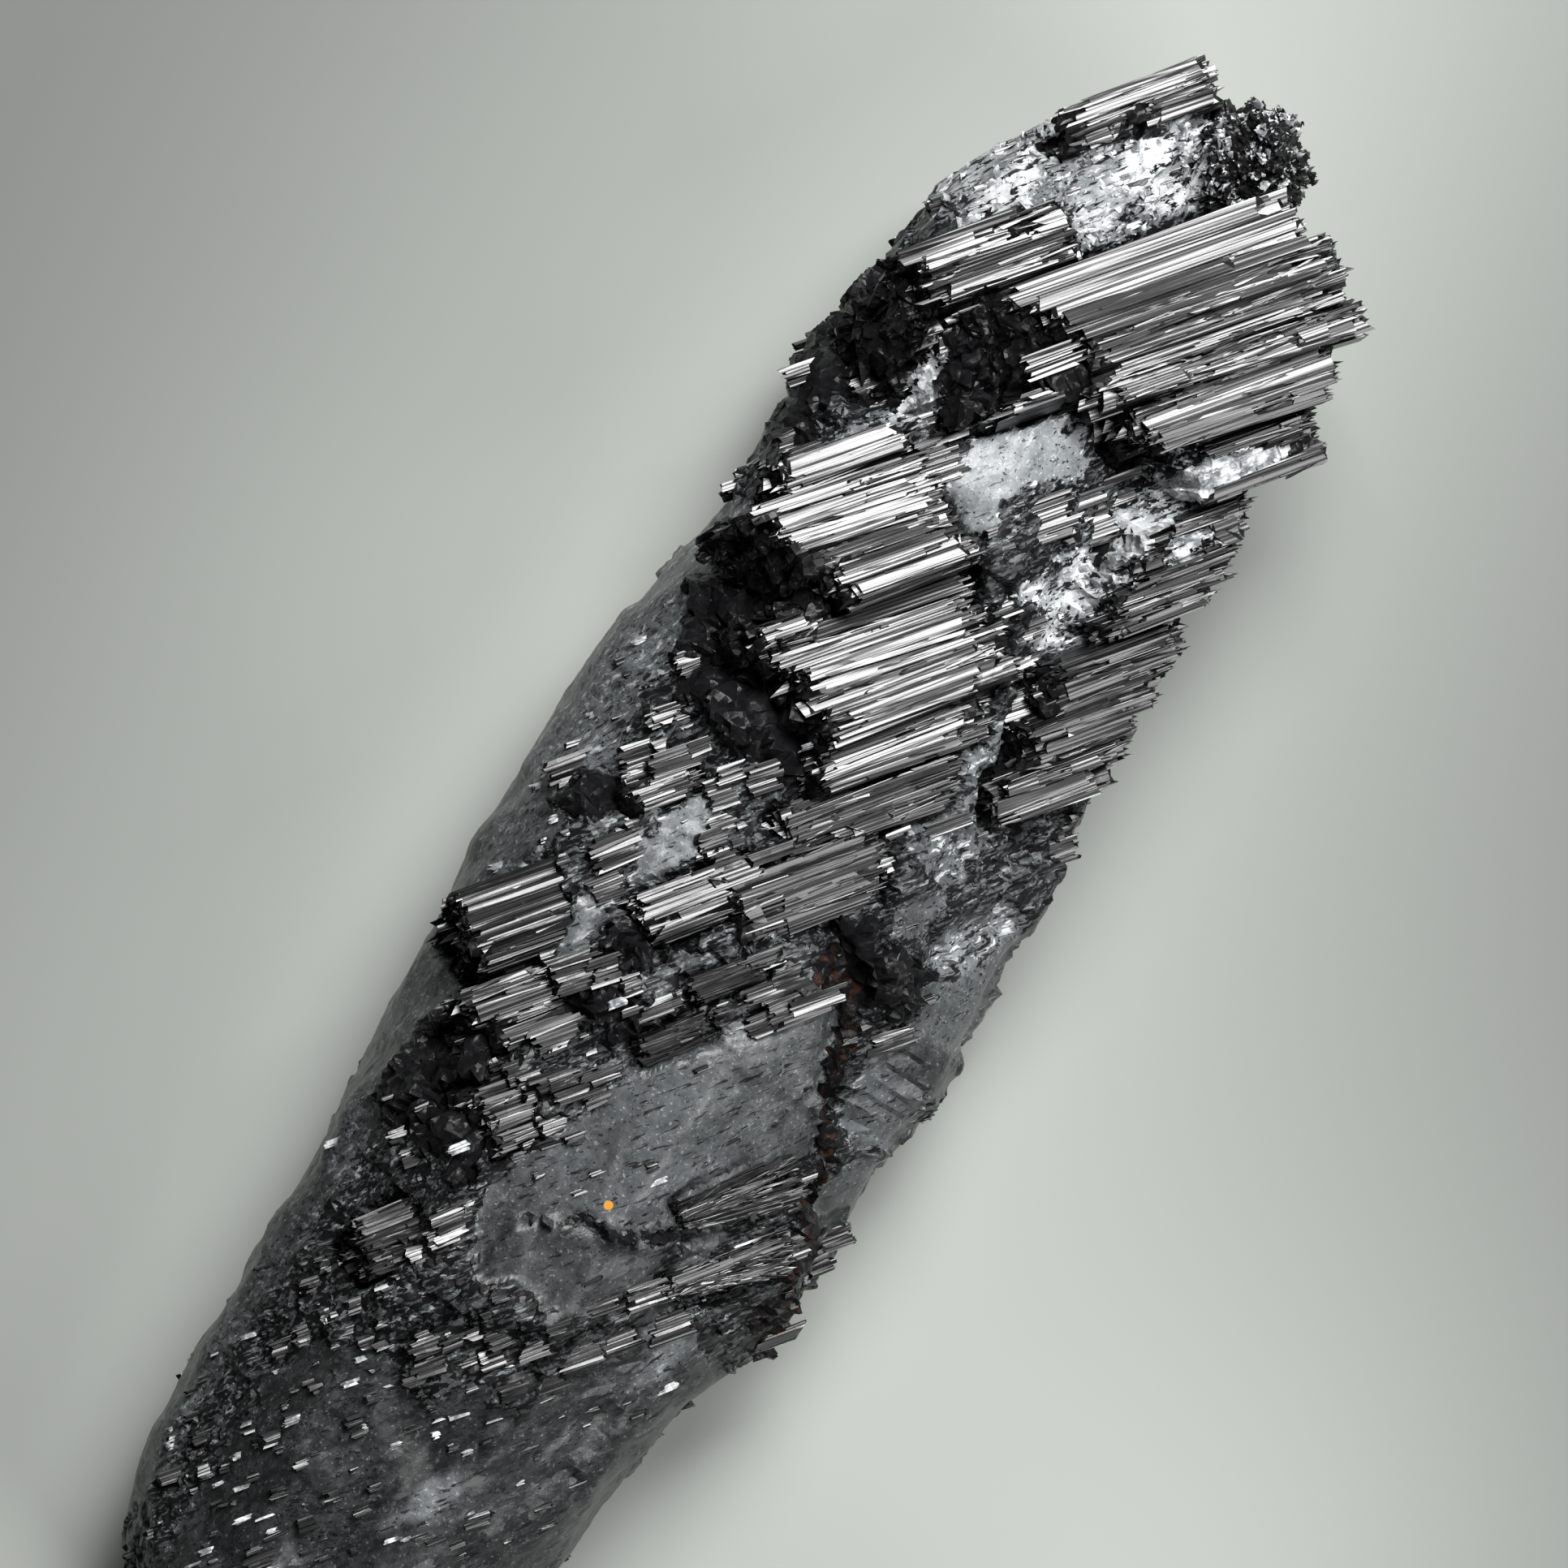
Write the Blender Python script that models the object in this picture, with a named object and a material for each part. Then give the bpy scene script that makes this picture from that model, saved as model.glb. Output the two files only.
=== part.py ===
"""Black tourmaline in quartz, lying on its back: a log of smoky quartz with bundles of striated tourmaline
crystals grown obliquely across it.

The log lies along X, its crown end towards +X, and rests on a flat broken facet at Z = 0. Every tourmaline
crystal runs the same way, CRYSTAL_AZIMUTH from +X and dipping into the log towards its right-hand end, so
each bundle rises to a broken left end and dives under its neighbour on the right.

Places are worked out in the crystals' own plan axes: u along the crystals and w across them. The tables are
in millimetres, as a specimen is measured, and MM turns them into metres.
"""

import math
import random
from dataclasses import dataclass

import bmesh
import bpy
from mathutils import Matrix, Vector, noise

MM = 0.001
SEED = 7

# ---------------------------------------------------------------- driving dimensions, millimetres and degrees

CRYSTAL_AZIMUTH = -38.0  # the crystals' direction seen from above, measured from +X
REST_LEVEL = 0.0  # height of the broken facet that the log rests on
WIDEST_LEVEL = 15.5  # height at which the log is widest
SECTION_SIDES = 30  # faces around the log
SECTION_POWER = 2.4  # 2 is an ellipse, and more is squarer
STATION_STEP = 4.4  # spacing of the rings along the log
LUMP_SIZE = 13.0  # wavelength of the log's lumps
LUMP_HEIGHT = 0.7
FINE_LUMPS = (2.3, 0.6)  # the finer lumps on those: how much shorter their wavelength is, and their share
FACETS = 150  # flat breaks that the log's skin is made of
FACET_TILT = 0.16  # how far a facet leans from the skin, as a slope
FACET_SINK = 0.6  # depth of a facet's middle under the skin
FACET_SHARPNESS = 0.85  # 1 makes each facet quite flat
FACET_SWELL = 0.15  # the most that a facet moves the skin outwards
FACET_SPAN = (1.5, 0.08)  # how far along and around the skin its slope is taken, millimetres and radians
POCKET_GAP = 0.35  # clearance between a crystal and the quartz around it
ROD_OVERLAP = 1.28  # width of a rod over its share of the bundle, so that neighbours grow together
END_LEAN = 0.4  # how far a broken end runs out per unit of its depth

# The log's outline: distance along X, right edge, left edge, crest height and belly height.
LOG_STATIONS = (
    (-85.0, -4.5, 7.0, 22.5, 8.0),
    (-82.5, -9.5, 12.5, 26.0, 3.5),
    (-77.5, -13.2, 17.0, 28.8, 0.5),
    (-70.0, -15.6, 20.0, 30.4, -1.2),
    (-60.0, -17.0, 21.1, 31.8, -1.9),
    (-50.0, -17.8, 21.6, 33.0, -1.9),
    (-40.0, -19.1, 21.8, 34.2, -1.9),
    (-33.0, -21.6, 22.3, 35.2, -1.9),
    (-24.0, -23.0, 22.6, 35.6, -1.9),
    (-14.0, -23.3, 22.3, 35.0, -1.9),
    (-8.0, -23.6, 24.4, 34.2, -1.9),
    (0.0, -23.7, 24.0, 32.6, -1.9),
    (8.0, -23.1, 24.1, 31.2, -1.9),
    (16.0, -22.0, 23.0, 30.4, -1.9),
    (24.0, -20.2, 22.2, 30.4, -1.9),
    (32.0, -19.2, 20.7, 30.8, -1.9),
    (40.0, -19.6, 20.8, 31.2, -1.9),
    (48.0, -19.6, 20.9, 31.2, -1.9),
    (56.0, -18.6, 20.5, 31.4, -1.9),
    (62.0, -17.6, 19.8, 31.0, -1.9),
    (68.0, -15.6, 18.2, 29.6, -0.8),
    (74.0, -11.8, 15.2, 27.4, 3.0),
    (78.5, -7.4, 11.6, 24.8, 6.5),
    (81.0, -3.6, 7.6, 21.5, 10.0),
)

# Flat breaks that knock facets off the log: a point on each and its outward normal.
BREAKS = {
    "big_face": ((-16.0, -4.0, 34.6), (-0.05, -0.09, 1.0)),
    "right_facet_near": ((-9.0, -18.6, 25.2), (-0.06, -0.60, 0.80)),
    "right_facet_far": ((6.0, -19.2, 23.6), (0.20, -0.68, 0.71)),
    "right_facet_low": ((-26.0, -20.6, 21.0), (-0.13, -0.88, 0.45)),
    "left_shoulder_near": ((-48.0, 17.0, 25.6), (-0.10, 0.66, 0.74)),
    "left_shoulder_far": ((8.0, 20.6, 24.6), (0.04, 0.74, 0.67)),
    "crown_slope": ((67.0, 9.0, 28.4), (0.36, 0.30, 0.88)),
    "crown_under": ((76.0, 0.0, 8.0), (0.72, 0.0, -0.69)),
    "foot_break": ((-83.0, 2.0, 15.0), (-0.93, 0.14, 0.34)),
    "foot_under": ((-78.0, 0.0, 4.0), (-0.62, -0.20, -0.76)),
    "back_left": ((-10.0, 19.6, 5.2), (0.05, 0.72, -0.69)),
    "back_right": ((18.0, -18.6, 5.4), (0.06, -0.74, -0.67)),
}

# The open vein in the right flank: points along its middle, x, y and z.
VEIN_COURSE = (
    (-28.0, -25.0, 12.9),
    (-17.5, -18.4, 21.9),
    (-9.0, -14.6, 27.5),
    (-2.6, -12.0, 29.5),
    (3.5, -8.0, 31.5),
)
VEIN_HALF_WIDTH = 2.6  # half of the opening from corner to corner
VEIN_OVERLAP = 2.0  # how far each stretch runs into the next


@dataclass
class Bundle:
    """Parallel crystals grown together: where they lie in plan, and how they dip and roll."""

    name: str
    u: tuple  # left and right end
    w: tuple  # lower and upper edge in plan
    top: float  # height of the crest at the left end
    dip: float = 11.0  # fall towards the right end, degrees
    roll: float = 8.0  # lean of the top towards +w, degrees
    depth: float = 9.0
    rods: int = 3
    ragged: float = 1.4  # how much the rods' ends differ
    step: float = 0.7  # how much their heights differ
    lean: float = END_LEAN
    slant: float = 0.0  # how much further right the upper edge starts
    end_slant: float = 0.0  # how much further right the upper edge ends


BUNDLES = (
    Bundle("crown_block", (42.2, 67.0), (38.9, 43.4), 36.6, roll=16, rods=2, ragged=0.8, slant=-2.4),
    Bundle("crown_block", (44.8, 69.6), (30.8, 38.8), 34.4, roll=0, rods=5, ragged=1.8, step=0.9, slant=-1.5),
    Bundle("crown_block", (37.4, 48.0), (33.4, 43.0), 34.2, roll=4, ragged=1.6, lean=0.9, slant=-1.5),
    Bundle("crown_block", (32.8, 44.0), (34.2, 40.0), 32.7, roll=4, rods=2, ragged=1.4, lean=0.9),
    Bundle("shoulder_block", (33.6, 48.0), (44.2, 50.2), 33.6, roll=22, rods=4, ragged=1.6, slant=-1.6),
    Bundle("shoulder_block", (30.6, 40.0), (41.4, 48.6), 32.4, roll=16, ragged=1.4, lean=0.5),
    Bundle("shoulder_block", (28.8, 36.0), (42.6, 48.4), 30.4, roll=24, rods=2, ragged=1.2, slant=1.0),
    Bundle("crown_blade", (50.0, 64.4), (54.0, 57.6), 27.0, dip=8, roll=26, depth=6.5, rods=2, ragged=1.2),
    Bundle("right_sheaf", (47.2, 65.0), (25.4, 30.4), 31.0, roll=-10, depth=8.5, rods=4, ragged=1.6),
    Bundle("tip_sheaf", (49.6, 62.2), (19.8, 24.6), 28.0, roll=-14, depth=7.5, ragged=1.4, slant=1.5),
    Bundle(
        "big_block", (17.4, 30.8), (22.4, 33.2), 35.6, dip=13, roll=9, depth=10, rods=6, ragged=1.3,
        slant=-5.4, end_slant=-1.5,
    ),
    Bundle("big_block", (15.8, 27.6), (33.6, 36.6), 33.4, roll=24, depth=7, rods=2, ragged=0.8),
    Bundle("big_block", (14.4, 24.0), (23.4, 32.6), 32.9, roll=9, depth=8, ragged=1.4, slant=-3.6),
    Bundle(
        "second_block", (11.6, 31.0), (11.4, 21.9), 34.8, dip=13, roll=5, depth=10, rods=6, ragged=1.5,
        slant=-2, end_slant=-2,
    ),
    Bundle("second_block", (9.8, 26.6), (7.4, 11.2), 33.2, dip=12, roll=-8, depth=8, rods=2, ragged=1.2),
    Bundle("second_block", (8.8, 18.0), (21.0, 24.8), 33.8, roll=8, depth=8, ragged=1.0, slant=-0.8),
    Bundle("ledge_crystals", (5.6, 21.8), (2.6, 6.9), 32.8, roll=-8, depth=8, ragged=1.4, step=0.5),
    Bundle("ledge_crystals", (-0.8, 13.0), (-2.6, 2.3), 33.4, roll=-6, depth=7, ragged=1.6),
    Bundle(
        "edge_sheaf_upper", (38.0, 48.8), (11.4, 19.2), 28.8, dip=13, roll=-18, rods=5, ragged=1.6, step=0.9,
        slant=6, end_slant=6,
    ),
    Bundle(
        "edge_sheaf_lower", (23.4, 35.4), (-1.0, 10.8), 28.8, dip=13, roll=-20, rods=6, ragged=1.2, step=0.9,
        slant=9, end_slant=9.5,
    ),
    Bundle("flank_block_upper", (-23.6, -11.8), (3.4, 10.8), 32.4, roll=22, rods=5, ragged=1.0, lean=0.12),
    Bundle(
        "flank_block_middle", (-24.2, -16.6), (-3.6, 2.2), 34.4, dip=13, roll=12, depth=8, rods=4, lean=0.3,
        slant=-2.4,
    ),
    Bundle("flank_block_lower", (-27.8, -17.4), (-12.0, -5.6), 35.4, dip=13, roll=6, depth=7.5, rods=4),
    Bundle("centre_crystal", (-9.0, 2.4), (0.6, 5.0), 34.8, dip=9, roll=10, depth=8, ragged=0.8, lean=0.35),
    Bundle("long_prism", (-12.8, -6.0), (-8.9, -6.7), 36.2, dip=5, depth=4, rods=1, ragged=0.3, lean=0.1),
    Bundle("short_prism", (-6.8, 0.4), (-5.8, -3.6), 35.2, dip=6, depth=4, rods=1, ragged=0.3, lean=0.1),
    Bundle("small_block", (-41.8, -36.2), (-18.4, -13.4), 33.6, dip=9, depth=6.5, ragged=0.6, lean=0.2),
    Bundle("flank_chip", (-6.0, 0.4), (12.0, 16.0), 30.8, roll=22, depth=5.5, rods=2, ragged=0.8, lean=0.2),
    Bundle("fan_sheaf", (-14.6, -3.4), (-25.6, -21.4), 31.4, dip=13, roll=-20, depth=7, lean=0.2),
    Bundle("low_fan_sheaf", (-18.2, -6.6), (-31.4, -27.6), 29.2, dip=13, roll=-26, depth=6, rods=2),
)

# The knob of rough tourmaline at the crown: its middle and its half-sizes.
KNOB_MIDDLE = (79.6, -2.8, 21.6)
KNOB_HALF = (6.1, 5.6, 7.6)
KNOB_LUMP = 3.2  # wavelength of its lumps
KNOB_LUMP_HEIGHT = 1.1

QUARTZ_GREY = (0.22, 0.24, 0.26, 1.0)
TOURMALINE_BLACK = (0.015, 0.015, 0.017, 1.0)


# ---------------------------------------------------------------- small helpers


def clear_scene():
    for found in list(bpy.data.objects):
        bpy.data.objects.remove(found, do_unlink=True)


def finish_of(name, colour, roughness):
    """A Principled material of one colour."""
    made = bpy.data.materials.new(name)
    made.use_nodes = True
    shader = made.node_tree.nodes["Principled BSDF"]
    shader.inputs["Base Color"].default_value = colour
    shader.inputs["Roughness"].default_value = roughness
    return made


def object_from(bm, name):
    """A new object at the origin that holds the bmesh, which is freed."""
    bmesh.ops.recalc_face_normals(bm, faces=bm.faces)
    mesh = bpy.data.meshes.new(name)
    bm.to_mesh(mesh)
    bm.free()
    made = bpy.data.objects.new(name, mesh)
    bpy.context.scene.collection.objects.link(made)
    return made


def combine(base, others, operation):
    """Applies one Boolean of base with each of the others in turn, and keeps base's largest body."""
    for other in others:
        cut = base.modifiers.new(operation.title(), "BOOLEAN")
        cut.operation = operation
        cut.solver = "EXACT"
        cut.object = other
    bpy.context.view_layer.update()
    graph = bpy.context.evaluated_depsgraph_get()
    mesh = bpy.data.meshes.new_from_object(base.evaluated_get(graph), depsgraph=graph)
    base.modifiers.clear()
    base.data = mesh
    keep_largest_body(mesh)


def bodies_of(bm):
    """The separate bodies of a bmesh, as lists of faces."""
    unseen = set(bm.faces)
    found = []
    while unseen:
        body = [unseen.pop()]
        for face in body:
            for edge in face.edges:
                fresh = [near for near in edge.link_faces if near in unseen]
                unseen.difference_update(fresh)
                body.extend(fresh)
        found.append(body)
    return found


def keep_largest_body(mesh):
    bm = bmesh.new()
    bm.from_mesh(mesh)
    bmesh.ops.remove_doubles(bm, verts=bm.verts, dist=0.002 * MM)
    bodies = sorted(bodies_of(bm), key=lambda faces: sum(face.calc_area() for face in faces))
    crumbs = [face for body in bodies[:-1] for face in body]
    bmesh.ops.delete(bm, geom=crumbs, context="FACES")
    bmesh.ops.triangulate(bm, faces=bm.faces)
    bm.to_mesh(mesh)
    bm.free()


def throw_away(objects):
    for used in objects:
        bpy.data.objects.remove(used, do_unlink=True)


# ---------------------------------------------------------------- tourmaline


def crystal_axes(dip, roll):
    """The rotation that carries u, w and height into the row frame for crystals of this dip and roll."""
    return (
        Matrix.Rotation(math.radians(CRYSTAL_AZIMUTH), 3, "Z")
        @ Matrix.Rotation(math.radians(dip), 3, "Y")
        @ Matrix.Rotation(math.radians(-roll), 3, "X")
    )


def plan_to_row(u, w, height):
    """A point of the crystals' plan axes in the row frame, in millimetres."""
    turn = math.radians(CRYSTAL_AZIMUTH)
    x = u * math.cos(turn) - w * math.sin(turn)
    y = u * math.sin(turn) + w * math.cos(turn)
    return Vector((x, y, height))


def rod(bundle, share, swell):
    """One chamfered prism of a bundle as a bmesh in the row frame.

    share is its place across the bundle from 0 to 1, and swell is how much larger than the crystal it is on
    every side.
    """
    dice = random.Random(f"{SEED} {bundle.name} {share:.2f}")
    width = (bundle.w[1] - bundle.w[0]) / bundle.rods
    low_edge = dice.uniform(-bundle.ragged, bundle.ragged)
    start = bundle.u[0] + dice.uniform(0, bundle.ragged) + bundle.slant * share
    end = bundle.u[1] + 0.6 * low_edge + bundle.end_slant * share
    rise = dice.uniform(-bundle.step, bundle.step)
    half_width = 0.5 * width * (ROD_OVERLAP if bundle.rods > 1 else 1.0) + swell
    half_depth = 0.5 * (bundle.depth + rise) + swell
    middle_w = bundle.w[0] + (share * (bundle.rods - 1) + 0.5) * width
    side_lean = dice.uniform(-0.35, 0.35)

    bm = bmesh.new()
    bmesh.ops.create_cube(bm, size=2.0)
    long_edges = [e for e in bm.edges if abs(e.verts[0].co.x - e.verts[1].co.x) > 1]
    chamfer = dice.uniform(0.3, 0.5)
    bmesh.ops.bevel(bm, geom=long_edges, offset=chamfer, affect="EDGES", segments=1, profile=0.5, material=-1)
    length = end - start
    for vertex in bm.verts:
        along, across, up = vertex.co
        reach = (bundle.lean * (1 - up) * half_depth + side_lean * across * half_width) * (along < 0)
        vertex.co.x = along * (0.5 * length + swell) - reach
        vertex.co.y = across * half_width
        vertex.co.z = (up - 1) * half_depth + swell + 0.5 * rise
    axes = crystal_axes(bundle.dip, bundle.roll)
    # The crest of the bundle's left end is the fixed point; the rod's own middle lies half a length further.
    anchor = plan_to_row(bundle.u[0], 0.5 * (bundle.w[0] + bundle.w[1]), bundle.top)
    offset = Vector((start - bundle.u[0] + 0.5 * length, middle_w - 0.5 * (bundle.w[0] + bundle.w[1]), 0))
    place = Matrix.Translation(anchor + axes @ offset) @ axes.to_4x4()
    bmesh.ops.transform(bm, matrix=Matrix.Scale(MM, 4) @ place, verts=bm.verts)
    return bm


def block_solid(name, swell=0.0):
    """All the rods of the bundles with this name in one solid, or with swell the pocket that they need."""
    rods = []
    for bundle in BUNDLES:
        if bundle.name == name:
            shares = [k / max(bundle.rods - 1, 1) for k in range(bundle.rods)]
            rods += [object_from(rod(bundle, share, swell), f"{name}_rod") for share in shares]
    made = rods[0]
    combine(made, rods[1:], "UNION")
    throw_away(rods[1:])
    return made


def knob_solid(swell=0.0):
    """The crown's lump of rough tourmaline."""
    bm = bmesh.new()
    bmesh.ops.create_icosphere(bm, subdivisions=3, radius=1.0)
    middle = Vector(KNOB_MIDDLE)
    for vertex in bm.verts:
        way = vertex.co.normalized()
        point = Vector(way[k] * (KNOB_HALF[k] + swell) for k in range(3))
        lump = noise.noise((middle + point) / KNOB_LUMP) + 0.5 * noise.noise((middle + point) * 2 / KNOB_LUMP)
        vertex.co = (middle + point + way * lump * KNOB_LUMP_HEIGHT) * MM
    return object_from(bm, "crown_knob")


# ---------------------------------------------------------------- quartz


def station_at(x):
    """Right edge, left edge, crest and belly of the log at x, between the table's stations."""
    for near, far in zip(LOG_STATIONS, LOG_STATIONS[1:]):
        if x <= far[0]:
            share = (x - near[0]) / (far[0] - near[0])
            return [a + share * (b - a) for a, b in zip(near[1:], far[1:])]
    return list(LOG_STATIONS[-1][1:])


def power(value, exponent):
    return math.copysign(abs(value) ** exponent, value)


def log_surface(x, angle):
    """A point on the log's skin, in millimetres: angle 0 is the left edge and a quarter turn is the crest."""
    right, left, crest, belly = station_at(x)
    side = power(math.cos(angle), 2 / SECTION_POWER)
    height = power(math.sin(angle), 2 / SECTION_POWER)
    y = 0.5 * (left + right) + side * 0.5 * (left - right)
    z = WIDEST_LEVEL + height * ((crest - WIDEST_LEVEL) if height > 0 else (WIDEST_LEVEL - belly))
    return Vector((x, y, z))


def lumpy_surface(x, angle):
    """The log's skin with its lumps."""
    point = log_surface(x, angle)
    finer, share = FINE_LUMPS
    lump = noise.noise(point / LUMP_SIZE) + share * noise.noise(point * finer / LUMP_SIZE)
    return point + (point - Vector((x, 0.0, WIDEST_LEVEL))).normalized() * lump * LUMP_HEIGHT


def facet_planes():
    """The flat breaks of the skin, as points and outward normals, at scattered places on the log."""
    dice = random.Random(SEED)
    planes = []
    for _ in range(FACETS):
        x = dice.uniform(LOG_STATIONS[0][0], LOG_STATIONS[-1][0])
        angle = dice.uniform(0, math.tau)
        along = lumpy_surface(x + FACET_SPAN[0], angle) - lumpy_surface(x - FACET_SPAN[0], angle)
        around = lumpy_surface(x, angle + FACET_SPAN[1]) - lumpy_surface(x, angle - FACET_SPAN[1])
        normal = around.cross(along).normalized()
        lean = Vector(dice.uniform(-FACET_TILT, FACET_TILT) for _ in range(3))
        normal = (normal + lean).normalized()
        planes.append((lumpy_surface(x, angle) - normal * FACET_SINK, normal))
    return planes


def flattened(point, planes):
    """The point moved towards the plane of the facet that is nearest to it."""
    middle, normal = min(planes, key=lambda plane: (plane[0] - point).length_squared)
    return point - normal * max((point - middle).dot(normal) * FACET_SHARPNESS, -FACET_SWELL)


def log_solid():
    """The quartz log before anything is cut from it: rings lofted through the stations, and large breaks."""
    planes = facet_planes()
    first, last = LOG_STATIONS[0][0], LOG_STATIONS[-1][0]
    rings = round((last - first) / STATION_STEP)
    bm = bmesh.new()
    before = None
    for ring in range(rings + 1):
        x = first + (last - first) * ring / rings
        made = bmesh.ops.create_circle(bm, segments=SECTION_SIDES, radius=1.0, cap_ends=ring in (0, rings))
        for k, vertex in enumerate(made["verts"]):
            vertex.co = flattened(lumpy_surface(x, math.tau * k / SECTION_SIDES), planes) * MM
        if before:
            edges = [e for e in bm.edges if all(v in before for v in e.verts)]
            now = set(made["verts"])
            edges += [e for e in bm.edges if all(v in now for v in e.verts)]
            bmesh.ops.bridge_loops(bm, edges=edges)
        before = set(made["verts"])
    bmesh.ops.recalc_face_normals(bm, faces=bm.faces)
    for point, normal in BREAKS.values():
        slice_off(bm, Vector(point) * MM, Vector(normal))
    slice_off(bm, Vector((0, 0, REST_LEVEL)), Vector((0, 0, -1)))
    bmesh.ops.triangulate(bm, faces=bm.faces)
    return object_from(bm, "quartz_matrix")


def slice_off(bm, point, normal):
    """Removes what lies beyond the plane and closes the cut with one flat face."""
    whole = bm.verts[:] + bm.edges[:] + bm.faces[:]
    cut = bmesh.ops.bisect_plane(bm, geom=whole, dist=1e-6, plane_co=point, plane_no=normal, clear_outer=True)
    rim = [g for g in cut["geom_cut"] if isinstance(g, bmesh.types.BMEdge)]
    bmesh.ops.contextual_create(bm, geom=rim)


def vein_cutters():
    """Four-sided bars that open the vein along its middle, each overlapping the next."""
    made = []
    for near, far in zip(VEIN_COURSE, VEIN_COURSE[1:]):
        a, b = Vector(near) * MM, Vector(far) * MM
        along = (b - a).normalized()
        bm = bmesh.new()
        half, length = VEIN_HALF_WIDTH * MM, (b - a).length + VEIN_OVERLAP * MM
        bmesh.ops.create_cone(bm, segments=4, radius1=half, radius2=half, depth=length, cap_ends=True)
        turn = along.to_track_quat("Z", "Y").to_matrix().to_4x4()
        place = Matrix.Translation((a + b) / 2) @ turn
        bmesh.ops.transform(bm, matrix=place, verts=bm.verts)
        made.append(object_from(bm, "vein_cutter"))
    return made


# ---------------------------------------------------------------- the specimen


def set_on_origin():
    """Moves every piece alike, so that the middle of the specimen's underside is at the origin."""
    points = [vertex.co for found in bpy.data.objects for vertex in found.data.vertices]
    low = Vector(min(point[k] for point in points) for k in range(3))
    high = Vector(max(point[k] for point in points) for k in range(3))
    shift = -Vector(((low.x + high.x) / 2, (low.y + high.y) / 2, low.z))
    for found in bpy.data.objects:
        found.data.transform(Matrix.Translation(shift))
    print("moved by", [round(value / MM, 3) for value in shift], "mm")


def main():
    clear_scene()
    tourmaline = finish_of("tourmaline", TOURMALINE_BLACK, 0.3)
    quartz = finish_of("quartz", QUARTZ_GREY, 0.4)

    matrix = log_solid()
    cutters = vein_cutters()
    combine(matrix, cutters, "DIFFERENCE")
    throw_away(cutters)

    pockets = []
    knob = knob_solid()
    knob.data.materials.append(tourmaline)
    pockets.append(knob_solid(POCKET_GAP))
    for name in dict.fromkeys(bundle.name for bundle in BUNDLES):
        made = block_solid(name)
        combine(made, pockets, "DIFFERENCE")
        made.name = name
        made.data.materials.append(tourmaline)
        pockets.append(block_solid(name, POCKET_GAP))
    combine(matrix, pockets, "DIFFERENCE")
    matrix.data.materials.append(quartz)
    throw_away(pockets)
    set_on_origin()


main()
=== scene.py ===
# %% [markdown]
# # Black tourmaline in quartz
# A hand-sized mineral specimen: a log of smoky grey quartz, crossed by bundles of black tourmaline
# crystals. The crystals are long prisms with fine grooves along them, all grown the same way, oblique to
# the log. Each bundle rises to a rough broken end on the left and dives into the quartz on the right, like
# slates on a roof.
#
# The lesson builds it from three ideas. The quartz is one skin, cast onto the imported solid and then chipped
# with noise. The tourmaline is thousands of small chamfered prisms, each fitted by a ray inside its packed
# solid. The looks come from three materials, and two of them find their streaks in the crystals' own
# direction.

import math

import bmesh
import bpy
import numpy as np
from mathutils import Matrix, Vector, noise
from mathutils.bvhtree import BVHTree


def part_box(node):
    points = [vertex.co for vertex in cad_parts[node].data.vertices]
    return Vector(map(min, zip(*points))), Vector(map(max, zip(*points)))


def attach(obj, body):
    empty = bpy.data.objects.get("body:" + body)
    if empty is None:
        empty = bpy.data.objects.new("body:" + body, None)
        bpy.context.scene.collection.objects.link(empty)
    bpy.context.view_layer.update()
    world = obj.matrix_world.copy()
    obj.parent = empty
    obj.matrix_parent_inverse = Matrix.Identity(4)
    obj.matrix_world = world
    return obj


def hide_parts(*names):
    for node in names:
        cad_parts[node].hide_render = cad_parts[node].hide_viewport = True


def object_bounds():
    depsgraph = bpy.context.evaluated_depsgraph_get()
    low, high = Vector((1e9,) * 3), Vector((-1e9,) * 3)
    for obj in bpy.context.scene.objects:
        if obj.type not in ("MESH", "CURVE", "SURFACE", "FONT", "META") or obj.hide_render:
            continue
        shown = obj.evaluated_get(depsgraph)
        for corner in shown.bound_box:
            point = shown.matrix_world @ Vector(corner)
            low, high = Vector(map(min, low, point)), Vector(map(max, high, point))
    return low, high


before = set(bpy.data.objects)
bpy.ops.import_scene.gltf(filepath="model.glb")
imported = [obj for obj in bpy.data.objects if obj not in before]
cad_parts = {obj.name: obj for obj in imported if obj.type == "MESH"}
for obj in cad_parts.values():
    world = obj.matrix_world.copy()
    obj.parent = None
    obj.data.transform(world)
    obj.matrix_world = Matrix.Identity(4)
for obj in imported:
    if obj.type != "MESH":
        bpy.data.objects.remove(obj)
cad_low, cad_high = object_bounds()
MM = 0.001
SEED = 11
print("solid model:", [round((high - low) / MM, 1) for low, high in zip(cad_low, cad_high)], "mm")

# %% [markdown]
# ## Where things are
# A specimen is easiest to describe from above, in millimetres: x along the log towards its crown, and y
# across it towards the broken crystal ends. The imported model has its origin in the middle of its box, so
# one small shift carries the plan onto it. The crystals have a frame of their own: l along them, s across
# them and h out of them.

# %% Plan millimetres and the crystals' own direction
PLAN_SHIFT = Vector((-0.475, -0.345, 0.0))  # the plan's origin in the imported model's frame, millimetres
CRYSTAL_AZIMUTH = math.radians(-38)  # seen from above, measured from +X
CRYSTAL_DIP = math.radians(11)  # how steeply the crystals dive towards their right-hand ends

ALONG = Vector((
    math.cos(CRYSTAL_AZIMUTH) * math.cos(CRYSTAL_DIP),
    math.sin(CRYSTAL_AZIMUTH) * math.cos(CRYSTAL_DIP),
    -math.sin(CRYSTAL_DIP),
))
ACROSS = Vector((0, 0, 1)).cross(ALONG).normalized()
OUT = ALONG.cross(ACROSS)


def to_plan(points):
    """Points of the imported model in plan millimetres."""
    return np.asarray(points) / MM - np.array(PLAN_SHIFT)


print("the crystals run along", [round(v, 3) for v in ALONG])

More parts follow.
